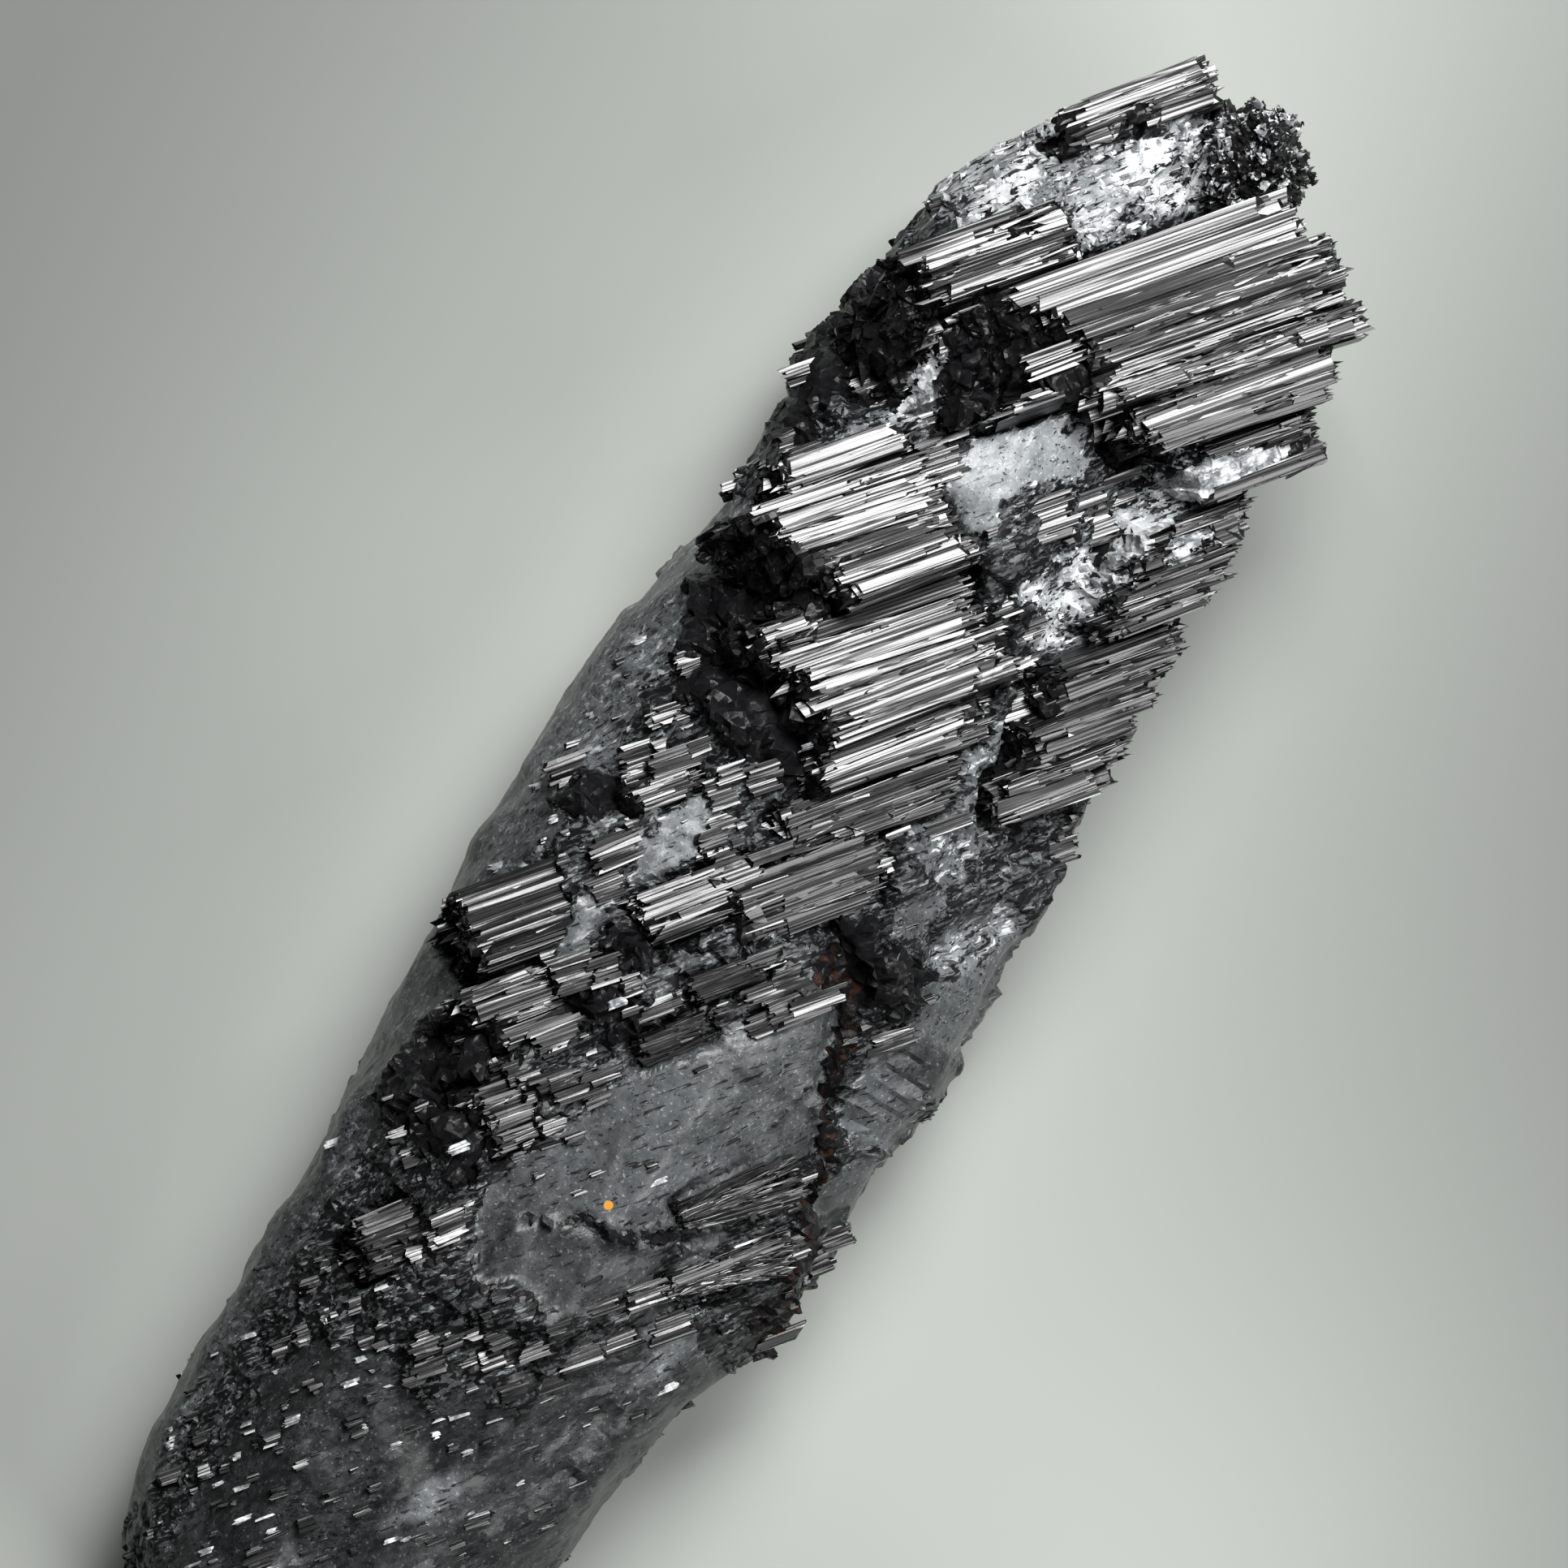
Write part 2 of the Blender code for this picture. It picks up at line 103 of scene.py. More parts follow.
# %% [markdown]
# ## The zones of the surface
# Most of the skin is a fine mosaic of small crystals, but some places are bare quartz, and some are black
# broken tourmaline. A thin black line along a ledge is painted shade, and some zones' greys are partly
# painted light and shade. Each zone is an outline in plan. A real edge is jagged, and it tends to follow the
# crystals, so the point that is tested against the outline is first pushed about: smoothly by noise that is
# stretched along the crystals, and in jumps from one chip to the next. In black and in white rubble no
# crystal stays whole.

# %% Bare quartz: how milky it is, in some zones with painted light and shade, how rough, and its outline


def rows(text):
    """A table of numbers from text: commas part its rows, and spaces part a row's numbers. In an outline or
    a course each row is the x and y of a point in plan."""
    return tuple(tuple(float(value) for value in row.split()) for row in text.split(","))


QUARTZ_ZONES = {
    # The crown's zones are partly milky quartz, partly painted light: a painted sheen on its lit upward
    # slope.
    "crown_sheen": (0.42, 1.1, rows(
        "58 10.8, 60 12, 61.4 15, 60.6 19.6, 66 20, 73 17.4, 78 13.4, 80 9, 84 3, 86 0, 84 -2, 78 -1.5, "
        "73 0, 68 3.5, 63 7")),
    "crown_edge": (0.6, 1, rows("61 18, 63 19.6, 66 19.4, 69.5 18.2, 74 15.6, 74 14.6, 70 16.8, 64 17.4")),
    "crown_snow_high": (0.95, 0.7, rows(
        "62.4 13.5, 62 15.2, 66 16, 69 15.6, 72 14.6, 75.6 12.5, 72 12.2, 66 13")),
    "crown_snow_middle": (0.98, 0.7, rows("70.5 6, 71 7.6, 76 7.2, 78.4 4.6, 76 4, 72.4 4.4")),
    "crown_snow_low": (0.98, 0.8, rows("70 4, 74 3.6, 79.6 1.4, 78.4 -0.2, 74 0, 71.4 2")),
    "crown_snow_left": (0.66, 0.9, rows("62 9, 66 9.2, 70 8.4, 70.4 5.6, 66.4 5.4, 63.4 7")),
    "crown_gap": (0.8, 0.6, rows(
        "40.5 13.4, 44 12.9, 48 13.2, 52 12.6, 51 11.6, 48.6 11.4, 46.4 9.2, 44 10.6, 42 12")),
    "crown_gap_lens": (0.5, 0.3, rows("36 16, 40 15.8, 43.4 14.2, 41 13.5, 38.4 14.2")),
    "crown_patch": (0.52, 0.34, rows(
        "41.2 5.1, 45 5.7, 47 4.7, 50 4.1, 48.2 2.7, 52.8 -0.2, 51.4 -1.2, 50 -4.2, 46.6 -4, 46 -1.8, "
        "44.5 -0.8, 43 -1.2, 41.6 1")),
    "crown_patch_arm": (0.42, 0.3, rows(
        "31 3.9, 36 3.9, 40 5, 41.6 4.6, 41.6 1, 40 -0.4, 37.6 1.2, 34 2.4")),
    "middle_crumbs": (0.85, 0.7, rows(
        "32.2 -8.4, 35 -7.2, 37.4 -8.2, 38.8 -9, 43.6 -10.2, 43.6 -12.2, 40.4 -12.2, 36.6 -10.6, "
        "33.6 -9.8")),
    "middle_bridge": (0.72, 0.7, rows(
        "36 -4.6, 38.2 -5, 38.4 -7.2, 41 -6, 44 -8.2, 48 -8.2, 47.6 -9.6, 42 -8.8, 38.6 -8.6, "
        "36 -7.4")),
    "right_streak": (0.96, 0.3, rows(
        "43.4 -10.4, 48 -10, 53 -11.2, 55.6 -13, 58 -15.4, 60.6 -18.4, 59 -19.6, 55 -16.4, 52 -14.4, "
        "47.6 -13.4, 43.8 -12.4")),
    "right_streak_foot": (0.7, 0.4, rows("45 -13.8, 48.6 -13.8, 49.8 -16.6, 47.4 -17.4, 45.4 -15.6")),
    "middle_chip": (0.6, 0.5, rows("27.4 -8.9, 30 -8.9, 31.2 -10.4, 29.6 -11.6, 27.9 -10.9")),
    "blue_lens": (0.42, 0.3, rows("-4 10.3, 0 11.2, 5 10.3, 9.4 8.5, 9.2 7, 5 6.8, 1 7.1, -1 7.7, -3 8.8")),
    "big_face": (0.225, 0.12, rows(
        "-39 3, -36 6.6, -30 6.2, -24 3.2, -16 1.6, -10 -4, -5 -8, -2.8 -11.6, -10 -12.2, -20 -10.7, "
        "-27 -10.2, -29 -5, -38 -2")),
    "big_face_foot": (0.1, 0.25, rows(
        "-39 4, -36 6.6, -33.4 5, -31 0, -29.8 -4, -28.2 -8, -33 -9, -38.5 -5")),
    "bevel": (0.15, 0.15, rows(
        "-20 -10.8, -10 -12.4, -3.6 -12, -5 -13.2, -9 -13.9, -16 -15.4, -19.6 -13.2")),
    "bevel_left": (0.13, 0.2, rows(
        "-36 -10.7, -28 -10.4, -19.5 -10.8, -19.4 -13.2, -24 -13, -30 -13.4, -35 -12.4")),
    "tooth_near": (0.24, 0.22, rows(
        "-12 -17.4, -8 -15.9, -4 -16, -3 -17.3, -4.4 -19, -5 -21.4, -8 -22.4, -12 -22.4")),
    "tooth_far": (0.26, 0.3, rows(
        "-2.6 -20, -2 -18, 0 -17, 3 -16.4, 6.2 -14.6, 10 -17, 13 -18.2, 12.4 -20.4, 9 -23, -1 -24")),
    "tooth_sugar": (0.46, 0.85, rows(
        "3 -16.6, 6.2 -14.9, 9 -17, 12.4 -18.7, 11.4 -20.6, 7 -20.4, 4.4 -19")),
    # The gap between the two teeth is darkest grey: painted shade between them.
    "tooth_gap": (0.05, 0.44, rows("-4.8 -18.4, -3.4 -17.4, -2.3 -19, -1.6 -23.5, -5.2 -23.5, -5 -21")),
    "tooth_low": (0.2, 0.25, rows("-21 -18.6, -13 -19, -12.6 -24, -21 -24.5")),
    "needle_bed": (0.3, 0.5, rows("11 -8.2, 18 -7.8, 26 -9.2, 26 -13, 20 -14.4, 11 -13.6")),
    "dim_facet": (0.22, 0.3, rows("4.6 -12, 7 -10.5, 9.2 -12, 11.4 -14, 5 -13.6")),
    "flank_chip_patch": (0.3, 0.4, rows("-13.6 13, -6 13.5, -5.4 11, -9 10.5, -13 11.1")),
    "flank_hollow": (0.3, 0.3, rows("-4.6 15.2, 0 17.6, 6 18.4, 4 15.4, 0 14")),
    # Towards the foot the quartz is darker grey, partly painted shade where less light falls.
    "foot_grey": (0.055, 0.44, rows("-50 -8, -47 -2, -52 2, -50 8, -54 14, -85 14, -85 -8")),
    "low_right": (0.07, 0.44, rows("-36 -10, -44 -6, -70 -8, -85 -4, -85 -24, -36 -24")),
    "foot_smear_high": (0.36, 0.3, rows("-63 -1.4, -58 -2.2, -54.4 -4.6, -56 -5.6, -60 -4.8")),
    "foot_smear_low": (0.34, 0.4, rows("-42 -12.4, -38 -13.2, -32 -15, -36 -16.4, -41 -14.6")),
    "foot_smear_small": (0.4, 0.3, rows("-52 -9.4, -48 -9.9, -46.6 -10.9, -51 -10.7")),
}
RAISED_ZONES = ("tooth_near", "tooth_far", "tooth_sugar", "tooth_low")
WHITE_RUBBLE = ("right_streak", "right_streak_foot", "middle_bridge", "middle_crumbs", "crown_gap")
UPPER_SIDE = 12.0  # the zones lie above this height; below it the quartz is as in HIDDEN_LOOK
HIDDEN_LOOK = (0.7, 0.2, 0.7)  # how bare, how milky and how rough
MOSAIC_LOOK = (0.20, 1.0)  # how milky and how rough the quartz is where no zone says otherwise
LEFT_FLANK_FROM = 18.0  # the left flank is bare beyond this y
LEFT_FLANK_ENDS = (-75.0, 31.0)  # and between these x
FLANK_MILK_AND_LIGHT, FLANK_ROUGH = (0.27, 0.17), 0.44  # its milk towards the crown and towards the foot, partly painted light: paler where more light falls

# %% Black broken tourmaline, the brown vein, and the ledge with its line of painted shade
BLACK_ZONES = (
    rows("46 9.3, 49 11, 57.2 12, 57.6 8, 57.8 3, 57 -1.7, 53.4 -1, 51.4 3.4, 48.2 5.4, 46 6.6"),
    rows("48.8 -4.8, 52.6 -4.4, 53.2 -8.4, 50 -8.6"),
    rows("36 17.4, 38 21, 47 22.4, 52 23, 55.2 20.6, 54.8 16.8, 53 13.6, 50 13.6, 45.6 15.4, 41 17"),
    rows("19 13.6, 22 18, 26 20, 29.6 19.8, 30.2 17, 29 13, 27.6 10, 27 5.4, 24.6 8, 24 12"),
    # The next one, the hollow at the second block's left end, is partly black tourmaline, partly painted
    # shade.
    rows("10.4 2.6, 11.6 8, 12.4 16, 18 18.6, 23 19.4, 21.6 13.2, 19.4 11, 18.2 7, 17.4 3, 14 1.6"),
    rows("62 12.2, 63.6 13.4, 66.2 12.6, 65.6 11, 62.6 11.2"),
    rows("76 8.6, 77.6 9.9, 79.4 8.2, 78 6, 76.2 6.4"),
    rows("26.6 -5.6, 29.4 -5.6, 29.4 -8.2, 27 -7.8"),
    rows("-1.6 -12.4, -1 -8, 3 -6, 4.6 -9, 4 -13, 4.4 -16, 0 -17, -2 -15"),
    rows("-16.4 3, -15.6 9.4, -12 9.6, -11.6 3.6"),
    rows("-9.6 4.4, -9.4 10, -6.4 10.4, -6 8, -7.4 4.4"),
    rows("-1 15, -1 19.5, 3.5 19.4, 3.4 15.6"),
    rows("-34.4 8, -33 13, -31 19.4, -24 19.8, -21 18, -21 12.5, -28 12.6, -29.6 9"),
)
VEIN_COURSE = rows("-33 -20.4, -26 -19.6, -17 -17, -10 -14.2, -3 -12, 0 -8")
# The ledge's half width is that of a thin black line of painted shade, in the crack below its step.
VEIN_HALF_WIDTH, LEDGE_SHADE_HALF_WIDTH = 1.1, 0.28
LEDGE_COURSE = rows("-33.4 3, -32.6 0.6, -30.8 -1.4, -30.2 -4.4, -29.4 -7, -28 -9.2")
BEYOND_LEDGE = LEDGE_COURSE + rows("-33 -9.4, -40 -6, -44 4")  # this facet lies a step lower

# %% Which zone each point lies in


def inside(points, outline):
    """Which plan points lie inside the outline: each edge that a ray along +x crosses flips the answer."""
    x, y = points[:, 0], points[:, 1]
    hit = np.zeros(len(points), bool)
    for (x0, y0), (x1, y1) in zip(outline, outline[1:] + outline[:1]):
        if y0 != y1:
            crosses = (y0 > y) != (y1 > y)
            hit ^= crosses & (x < x0 + (y - y0) * (x1 - x0) / (y1 - y0))
    return hit


def distance_to_course(points, course):
    """Distance in plan from each point to the line through the course's points."""
    nearest = np.full(len(points), 1e9)
    for start, end in zip(course, course[1:]):
        start, end = np.array(start), np.array(end)
        run = end - start
        share = np.clip(((points[:, :2] - start) @ run) / (run @ run), 0, 1)
        gap = np.linalg.norm(points[:, :2] - (start + share[:, None] * run), axis=1)
        nearest = np.minimum(nearest, gap)
    return nearest


def ragged(points, reach=0.5):
    """Plan points pushed about along the crystals, by smooth noise and by a jump of each chip's own."""
    moved = np.array(points)
    for k, (x, y, z) in enumerate(points):
        l, s = x * ALONG.x + y * ALONG.y, x * ACROSS.x + y * ACROSS.y
        push = noise.noise(Vector((l / 4, s / 1.3, z / 9)))
        chip = noise.voronoi(Vector((l / 1.7, s / 0.7, z / 9)))[1][0]
        push += 2.2 * (noise.cell(chip * 5.3 + Vector((0.5, 0.5, 0.5))) - 0.5)
        moved[k, 0] += reach * push * ALONG.x
        moved[k, 1] += reach * push * ALONG.y
    return moved


def rubble(points):
    """Which plan points lie in black rubble, and which in white: in neither does a crystal stay whole."""
    test = ragged(points)
    both = BLACK_ZONES, [QUARTZ_ZONES[name][2] for name in WHITE_RUBBLE]
    hits = [np.any([inside(test, outline) for outline in zones], axis=0) for zones in both]
    return [hit & (points[:, 2] > UPPER_SIDE) for hit in hits]


def zones_at(points):
    """For each plan point: is it bare quartz, how milky and how rough is it, is it raised, black or brown.
    Black is broken tourmaline, and along the ledge a thin line of painted shade."""
    test = ragged(points)
    upward = points[:, 2] > UPPER_SIDE
    bare, raised, black = (np.zeros(len(points)) for _ in range(3))
    milk, rough = (np.full(len(points), part) for part in MOSAIC_LOOK)
    for name, (milkiness, roughness, outline) in QUARTZ_ZONES.items():
        hit = inside(test, outline) & upward
        bare[hit], milk[hit], rough[hit], raised[hit] = 1, milkiness, roughness, name in RAISED_ZONES
    flank = test[:, 1] > LEFT_FLANK_FROM
    flank &= (points[:, 0] > LEFT_FLANK_ENDS[0]) & (points[:, 0] < LEFT_FLANK_ENDS[1])
    # On the left flank the crown half is paler, partly painted light.
    bare[flank], milk[flank], rough[flank] = 1, np.where(points[flank, 0] > 0, *FLANK_MILK_AND_LIGHT), FLANK_ROUGH
    bare[~upward], milk[~upward], rough[~upward] = HIDDEN_LOOK
    black[rubble(points)[0]] = 1
    brown = (distance_to_course(test, VEIN_COURSE) < VEIN_HALF_WIDTH) & upward
    # Along the ledge a thin black line is painted shade.
    black[brown | (distance_to_course(test, LEDGE_COURSE) < LEDGE_SHADE_HALF_WIDTH)] = 1
    return {
        "bare": bare * (1 - black), "milk": milk, "rough": rough, "raised": raised, "black": black,
        "brown": brown * 1.0,
    }


print(len(QUARTZ_ZONES), "bare quartz zones and", len(BLACK_ZONES), "black ones")

# %% [markdown]
# ## The quartz skin
# Quartz breaks like glass, in shallow curved chips with crisp rims, and it has no shape of its own here: it
# fills the log. A voxel remesh would spend half of its triangles on the hidden pockets. Instead a sphere's
# grid is stretched into a capsule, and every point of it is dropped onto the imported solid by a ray, as a
# cloth falls on a statue. Under a crystal the skin stops a little below the crystal's own surface, so no
# pocket stays open.

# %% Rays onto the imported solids
SKIN_SEGMENTS = 236  # around the log
SKIN_RINGS = 392  # along it
CAPSULE_INSET = 17 * MM  # how far in from each end the grid's rays start to turn towards it
UNDER_CRYSTAL = 1.3 * MM  # depth of the skin below a crystal's surface
TOP_CROWDING = 0.4  # how much closer the grid's points lie on top than underneath
MIDDLE_LINE = 0.47  # height of the line that all rays aim at, as a share of the log's
FAR = 0.1  # how far from that line the rays start, metres


def tree_of(names):
    """A ray-casting tree over several nodes' meshes."""
    bm = bmesh.new()
    for name in names:
        bm.from_mesh(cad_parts[name].data)
    tree = BVHTree.FromBMesh(bm)
    bm.free()
    return tree


crystal_names = sorted(set(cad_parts) - {"quartz_matrix"})
quartz_tree = tree_of(["quartz_matrix"])
crystal_tree = tree_of(crystal_names)
fan_tree = tree_of(["fan_sheaf", "low_fan_sheaf"])
quartz_low, quartz_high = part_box("quartz_matrix")
print(len(crystal_names), "tourmaline nodes")


def capsule_ray(turn, drop):
    """A grid point's ray: the point on the log's middle line that it aims at, and the way it points
    outwards. turn runs once round the log, and drop from one end, 0, to the other, 1."""
    turn = turn + TOP_CROWDING * math.cos(turn)
    first, last = quartz_low.x + CAPSULE_INSET, quartz_high.x - CAPSULE_INSET
    arc = CAPSULE_INSET * math.pi / 2
    length = 2 * arc + last - first
    run = drop * length
    if run < arc:
        lean, x = (run - arc) / CAPSULE_INSET, first
    elif run > length - arc:
        lean, x = (run - length + arc) / CAPSULE_INSET, last
    else:
        lean, x = 0.0, first + run - arc
    radial = Vector((0, math.cos(turn), math.sin(turn)))
    middle = Vector((x, 0.5 * (quartz_low.y + quartz_high.y), MIDDLE_LINE * quartz_high.z))
    return middle, radial * math.cos(lean) + Vector((math.sin(lean), 0, 0))


def reach_along(tree, middle, way, under=0.0):
    """How far out a ray meets the tree's surface, less under, or -1 where it misses."""
    hit = tree.ray_cast(middle + way * FAR, -way)
    return FAR - hit[3] - under if hit[0] else -1


# %% Drop a sphere's grid onto the solids
bm = bmesh.new()
bmesh.ops.create_uvsphere(bm, u_segments=SKIN_SEGMENTS, v_segments=SKIN_RINGS, radius=1.0)
bmesh.ops.triangulate(bm, faces=bm.faces)
bm.verts.ensure_lookup_table()
count = len(bm.verts)
middles, ways = np.zeros((count, 3)), np.zeros((count, 3))
reach, reach_crystal, reach_fan = (np.zeros(count) for _ in range(3))
for vertex in bm.verts:
    turn = math.atan2(vertex.co.y, vertex.co.x)
    drop = math.acos(max(-1, min(1, vertex.co.z))) / math.pi
    middle, way = capsule_ray(turn, drop)
    k = vertex.index
    middles[k], ways[k] = middle, way
    reach[k] = reach_along(quartz_tree, middle, way)
    reach_crystal[k] = reach_along(crystal_tree, middle, way, UNDER_CRYSTAL)
    reach_fan[k] = reach_along(fan_tree, middle, way, UNDER_CRYSTAL)
print("skin of", count, "points;", int((reach_crystal > 0).sum()), "of them under a crystal")

# %% Under crystals, the lowest neighbour decides, so that no quartz pokes out of a crystal's side
# The two fans are narrower than their solids at one end, so the quartz fills their pockets up to the edge.
# Blender makes the grid's edges and faces in another order each run, so they are sorted before they count.
edges = np.array(sorted(sorted(vertex.index for vertex in edge.verts) for edge in bm.edges))
for _ in range(3):
    lowest = reach_crystal.copy()
    np.minimum.at(lowest, edges[:, 0], reach_crystal[edges[:, 1]])
    np.minimum.at(lowest, edges[:, 1], reach_crystal[edges[:, 0]])
    reach_crystal = lowest
reach = np.maximum(reach, np.maximum(reach_crystal, reach_fan))


def smoothed(values, rounds):
    """Each point's value averaged with its neighbours' along the skin's edges, which rounds off the saw
    teeth that a steep wall leaves in a grid."""
    for _ in range(rounds):
        total, links = values.copy(), np.ones(len(values))
        for here, there in ((0, 1), (1, 0)):
            np.add.at(total, edges[:, here], values[edges[:, there]])
            np.add.at(links, edges[:, here], 1)
        values = total / links
    return values


NEAR_VEIN = 5.0  # so near the vein's steep groove the skin is smoother, millimetres
near_vein = distance_to_course(to_plan(middles + ways * reach[:, None]), VEIN_COURSE) < NEAR_VEIN
reach = np.where(near_vein, smoothed(reach, 9), smoothed(reach, 2))
skin = middles + ways * reach[:, None]
for vertex in bm.verts:
    vertex.co = skin[vertex.index]
bm.normal_update()
normals = np.array([vertex.normal for vertex in bm.verts])
print("highest point of the skin:", round(skin[:, 2].max() / MM, 1), "mm")

# %% [markdown]
# ### Chips in the quartz
# Each Voronoi cell of the surface becomes one chip: a plane through the cell's seed, tipped by the cell's
# own random slope and sunk by its own random step. Large cells give the ledges that catch the light, and
# small cells give the sugary break. The zones say how strong each is, and black tourmaline breaks in the
# coarsest lumps.

# %% Chip the skin


def chips(point, size, slope, step):
    """Height of the chip that the point falls in, in the units of size: its own tilt and step."""
    scaled = point / size
    seed = noise.voronoi(scaled)[1][0]
    tilt = noise.cell_vector(seed * 7.13 + Vector((0.5, 0.5, 0.5))) - Vector((0.5, 0.5, 0.5))
    rest = noise.cell(seed * 3.71 + Vector((9.5, 2.5, 4.5)))
    return ((scaled - seed).dot(tilt) * slope + rest * step) * size


def rock(point):
    """Height of a coarse, lumpy break at a plan point, from about -0.5 to 0.9 mm."""
    return chips(point, 3.2, 0.9, 0.3) + chips(point, 1.1, 0.8, 0.2) - 0.4


TOOTH_LIFT, LEDGE_DROP, BLACK_DROP, MOSAIC_DROP = 0.8, 0.9, 0.3, 0.25  # millimetres
SMOOTH_BELOW = 0.45  # a zone less rough than this has a smooth relief
DEEPEST, HIGHEST = -1.4, 0.35  # limits of a chip's height, millimetres
REST_HEIGHT = 0.25 * MM  # below this the skin is the facet that the log rests on, and no chip stands out
plan = to_plan(skin)
zone = zones_at(plan)
heights = np.zeros(count)
for k in range(count):
    point = Vector(plan[k])
    stretched = Vector((point.dot(ALONG) / 2.6, point.dot(ACROSS), point.dot(OUT)))
    heights[k] = chips(point + Vector((40, 0, 0)), 6.5, 0.5, 0.06) * (0.14 + 0.4 * zone["rough"][k])
    if zone["black"][k]:
        heights[k] += rock(point)
    else:
        fine = chips(stretched, 0.7, 0.9, 0.2) * max(0.0, normals[k, 2] - 0.3)
        heights[k] += (chips(stretched, 1.6, 0.9, 0.22) + fine) * 0.6 * zone["rough"][k]
sunk = BLACK_DROP * zone["black"] + MOSAIC_DROP * (1 - zone["bare"])
sunk = sunk + LEDGE_DROP * inside(plan, BEYOND_LEDGE) - TOOTH_LIFT * zone["raised"]
calm = (zone["rough"] < SMOOTH_BELOW) & (zone["black"] == 0)
heights = np.clip(heights - 0.1, DEEPEST, HIGHEST)
heights = np.where(calm, smoothed(heights, 3), heights) - smoothed(sunk, 2)
on_rest = skin[:, 2] < REST_HEIGHT
heights[on_rest] = np.minimum(heights[on_rest], 0)
print("chips from", round(heights.min(), 2), "to", round(heights.max(), 2), "mm")

# %% Make the quartz piece, with its zones stored on its points for the material
skin = skin + normals * heights[:, None] * MM
skin[:, 2] = np.maximum(skin[:, 2], 0.0)
for vertex in bm.verts:
    vertex.co = skin[vertex.index]
bmesh.ops.recalc_face_normals(bm, faces=bm.faces)
for face in bm.faces:
    face.smooth = all(calm[v.index] for v in face.verts)
skin_tree = BVHTree.FromBMesh(bm)
quartz_mesh = bpy.data.meshes.new("quartz_skin")
bm.to_mesh(quartz_mesh)
bm.free()
for name in ("milk", "rough", "bare", "black", "brown"):
    layer = quartz_mesh.attributes.new(name, "FLOAT", "POINT")
    layer.data.foreach_set("value", smoothed(zone[name], 1).astype(np.float32))
quartz_mesh.set_sharp_from_angle(angle=math.radians(28))  # flat where the chips meet at more than this


def piece(mesh, name, slot, *nodes):
    """A finished piece at the origin. It rides on the one body and stands for its nodes; slot is not used."""
    made = bpy.data.objects.new(name, mesh)
    bpy.context.scene.collection.objects.link(made)
    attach(made, "root")
    if nodes:
        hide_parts(*nodes)
    return made


quartz_piece = piece(quartz_mesh, "quartz_log", "quartz", "quartz_matrix")
print("quartz log:", len(quartz_mesh.polygons), "triangles")

# %% [markdown]
# ## The prism that everything black is made of
# A tourmaline crystal is a long prism with a rounded three-cornered section and grooves along it. Seen from
# a step away a bundle of them reads as a stack of slightly uneven planks. One chamfered prism made with
# Blender's cone operator is enough: it is stretched between two points, its long edges get small offsets of
# their own, which stay the same all the way along and so stay straight, and its two ends are broken
# unevenly.

# %% Templates of the prism, with more or fewer rings along it


def prism_template(cuts, sides=8):
    """A prism along x from -1 to 1, as a mesh, its points, and which long edge each point belongs to."""
    bm = bmesh.new()
    bmesh.ops.create_cone(bm, segments=sides, radius1=1, radius2=1, depth=2, cap_ends=True, cap_tris=True)
    upright = [e for e in bm.edges if abs(e.verts[0].co.z - e.verts[1].co.z) > 1]
    if cuts:
        bmesh.ops.subdivide_edges(bm, edges=upright, cuts=cuts)
    half_step = Matrix.Rotation(math.pi / sides, 4, "Z")
    lay_down = Matrix.Rotation(math.radians(90), 4, "Y")
    bmesh.ops.transform(bm, matrix=lay_down @ half_step, verts=bm.verts)
    bmesh.ops.triangulate(bm, faces=bm.faces)
    bmesh.ops.recalc_face_normals(bm, faces=bm.faces)
    mesh = bpy.data.meshes.new("prism_template")
    bm.to_mesh(mesh)
    bm.free()
    points = np.array([v.co for v in mesh.vertices])
    on_edge = np.hypot(points[:, 1], points[:, 2]) > 0.5
    turn = np.arctan2(points[:, 2], points[:, 1])
    edge = np.where(on_edge, np.round((turn / math.tau) * sides - 0.5).astype(int) % sides, -1)
    ring = np.round((points[:, 0] + 1) / 2 * (cuts + 1)).astype(int)
    points[:, 1:] = np.where(on_edge[:, None], points[:, 1:], 0)
    return mesh, points, edge, ring


SHORT, MEDIUM, LONG = prism_template(1), prism_template(3), prism_template(7)
print("prisms of", [len(t[0].polygons) for t in (SHORT, MEDIUM, LONG)], "triangles")

# %% One prism between two points
TAPER = 0.2  # how much wider a prism is at one end than in its middle


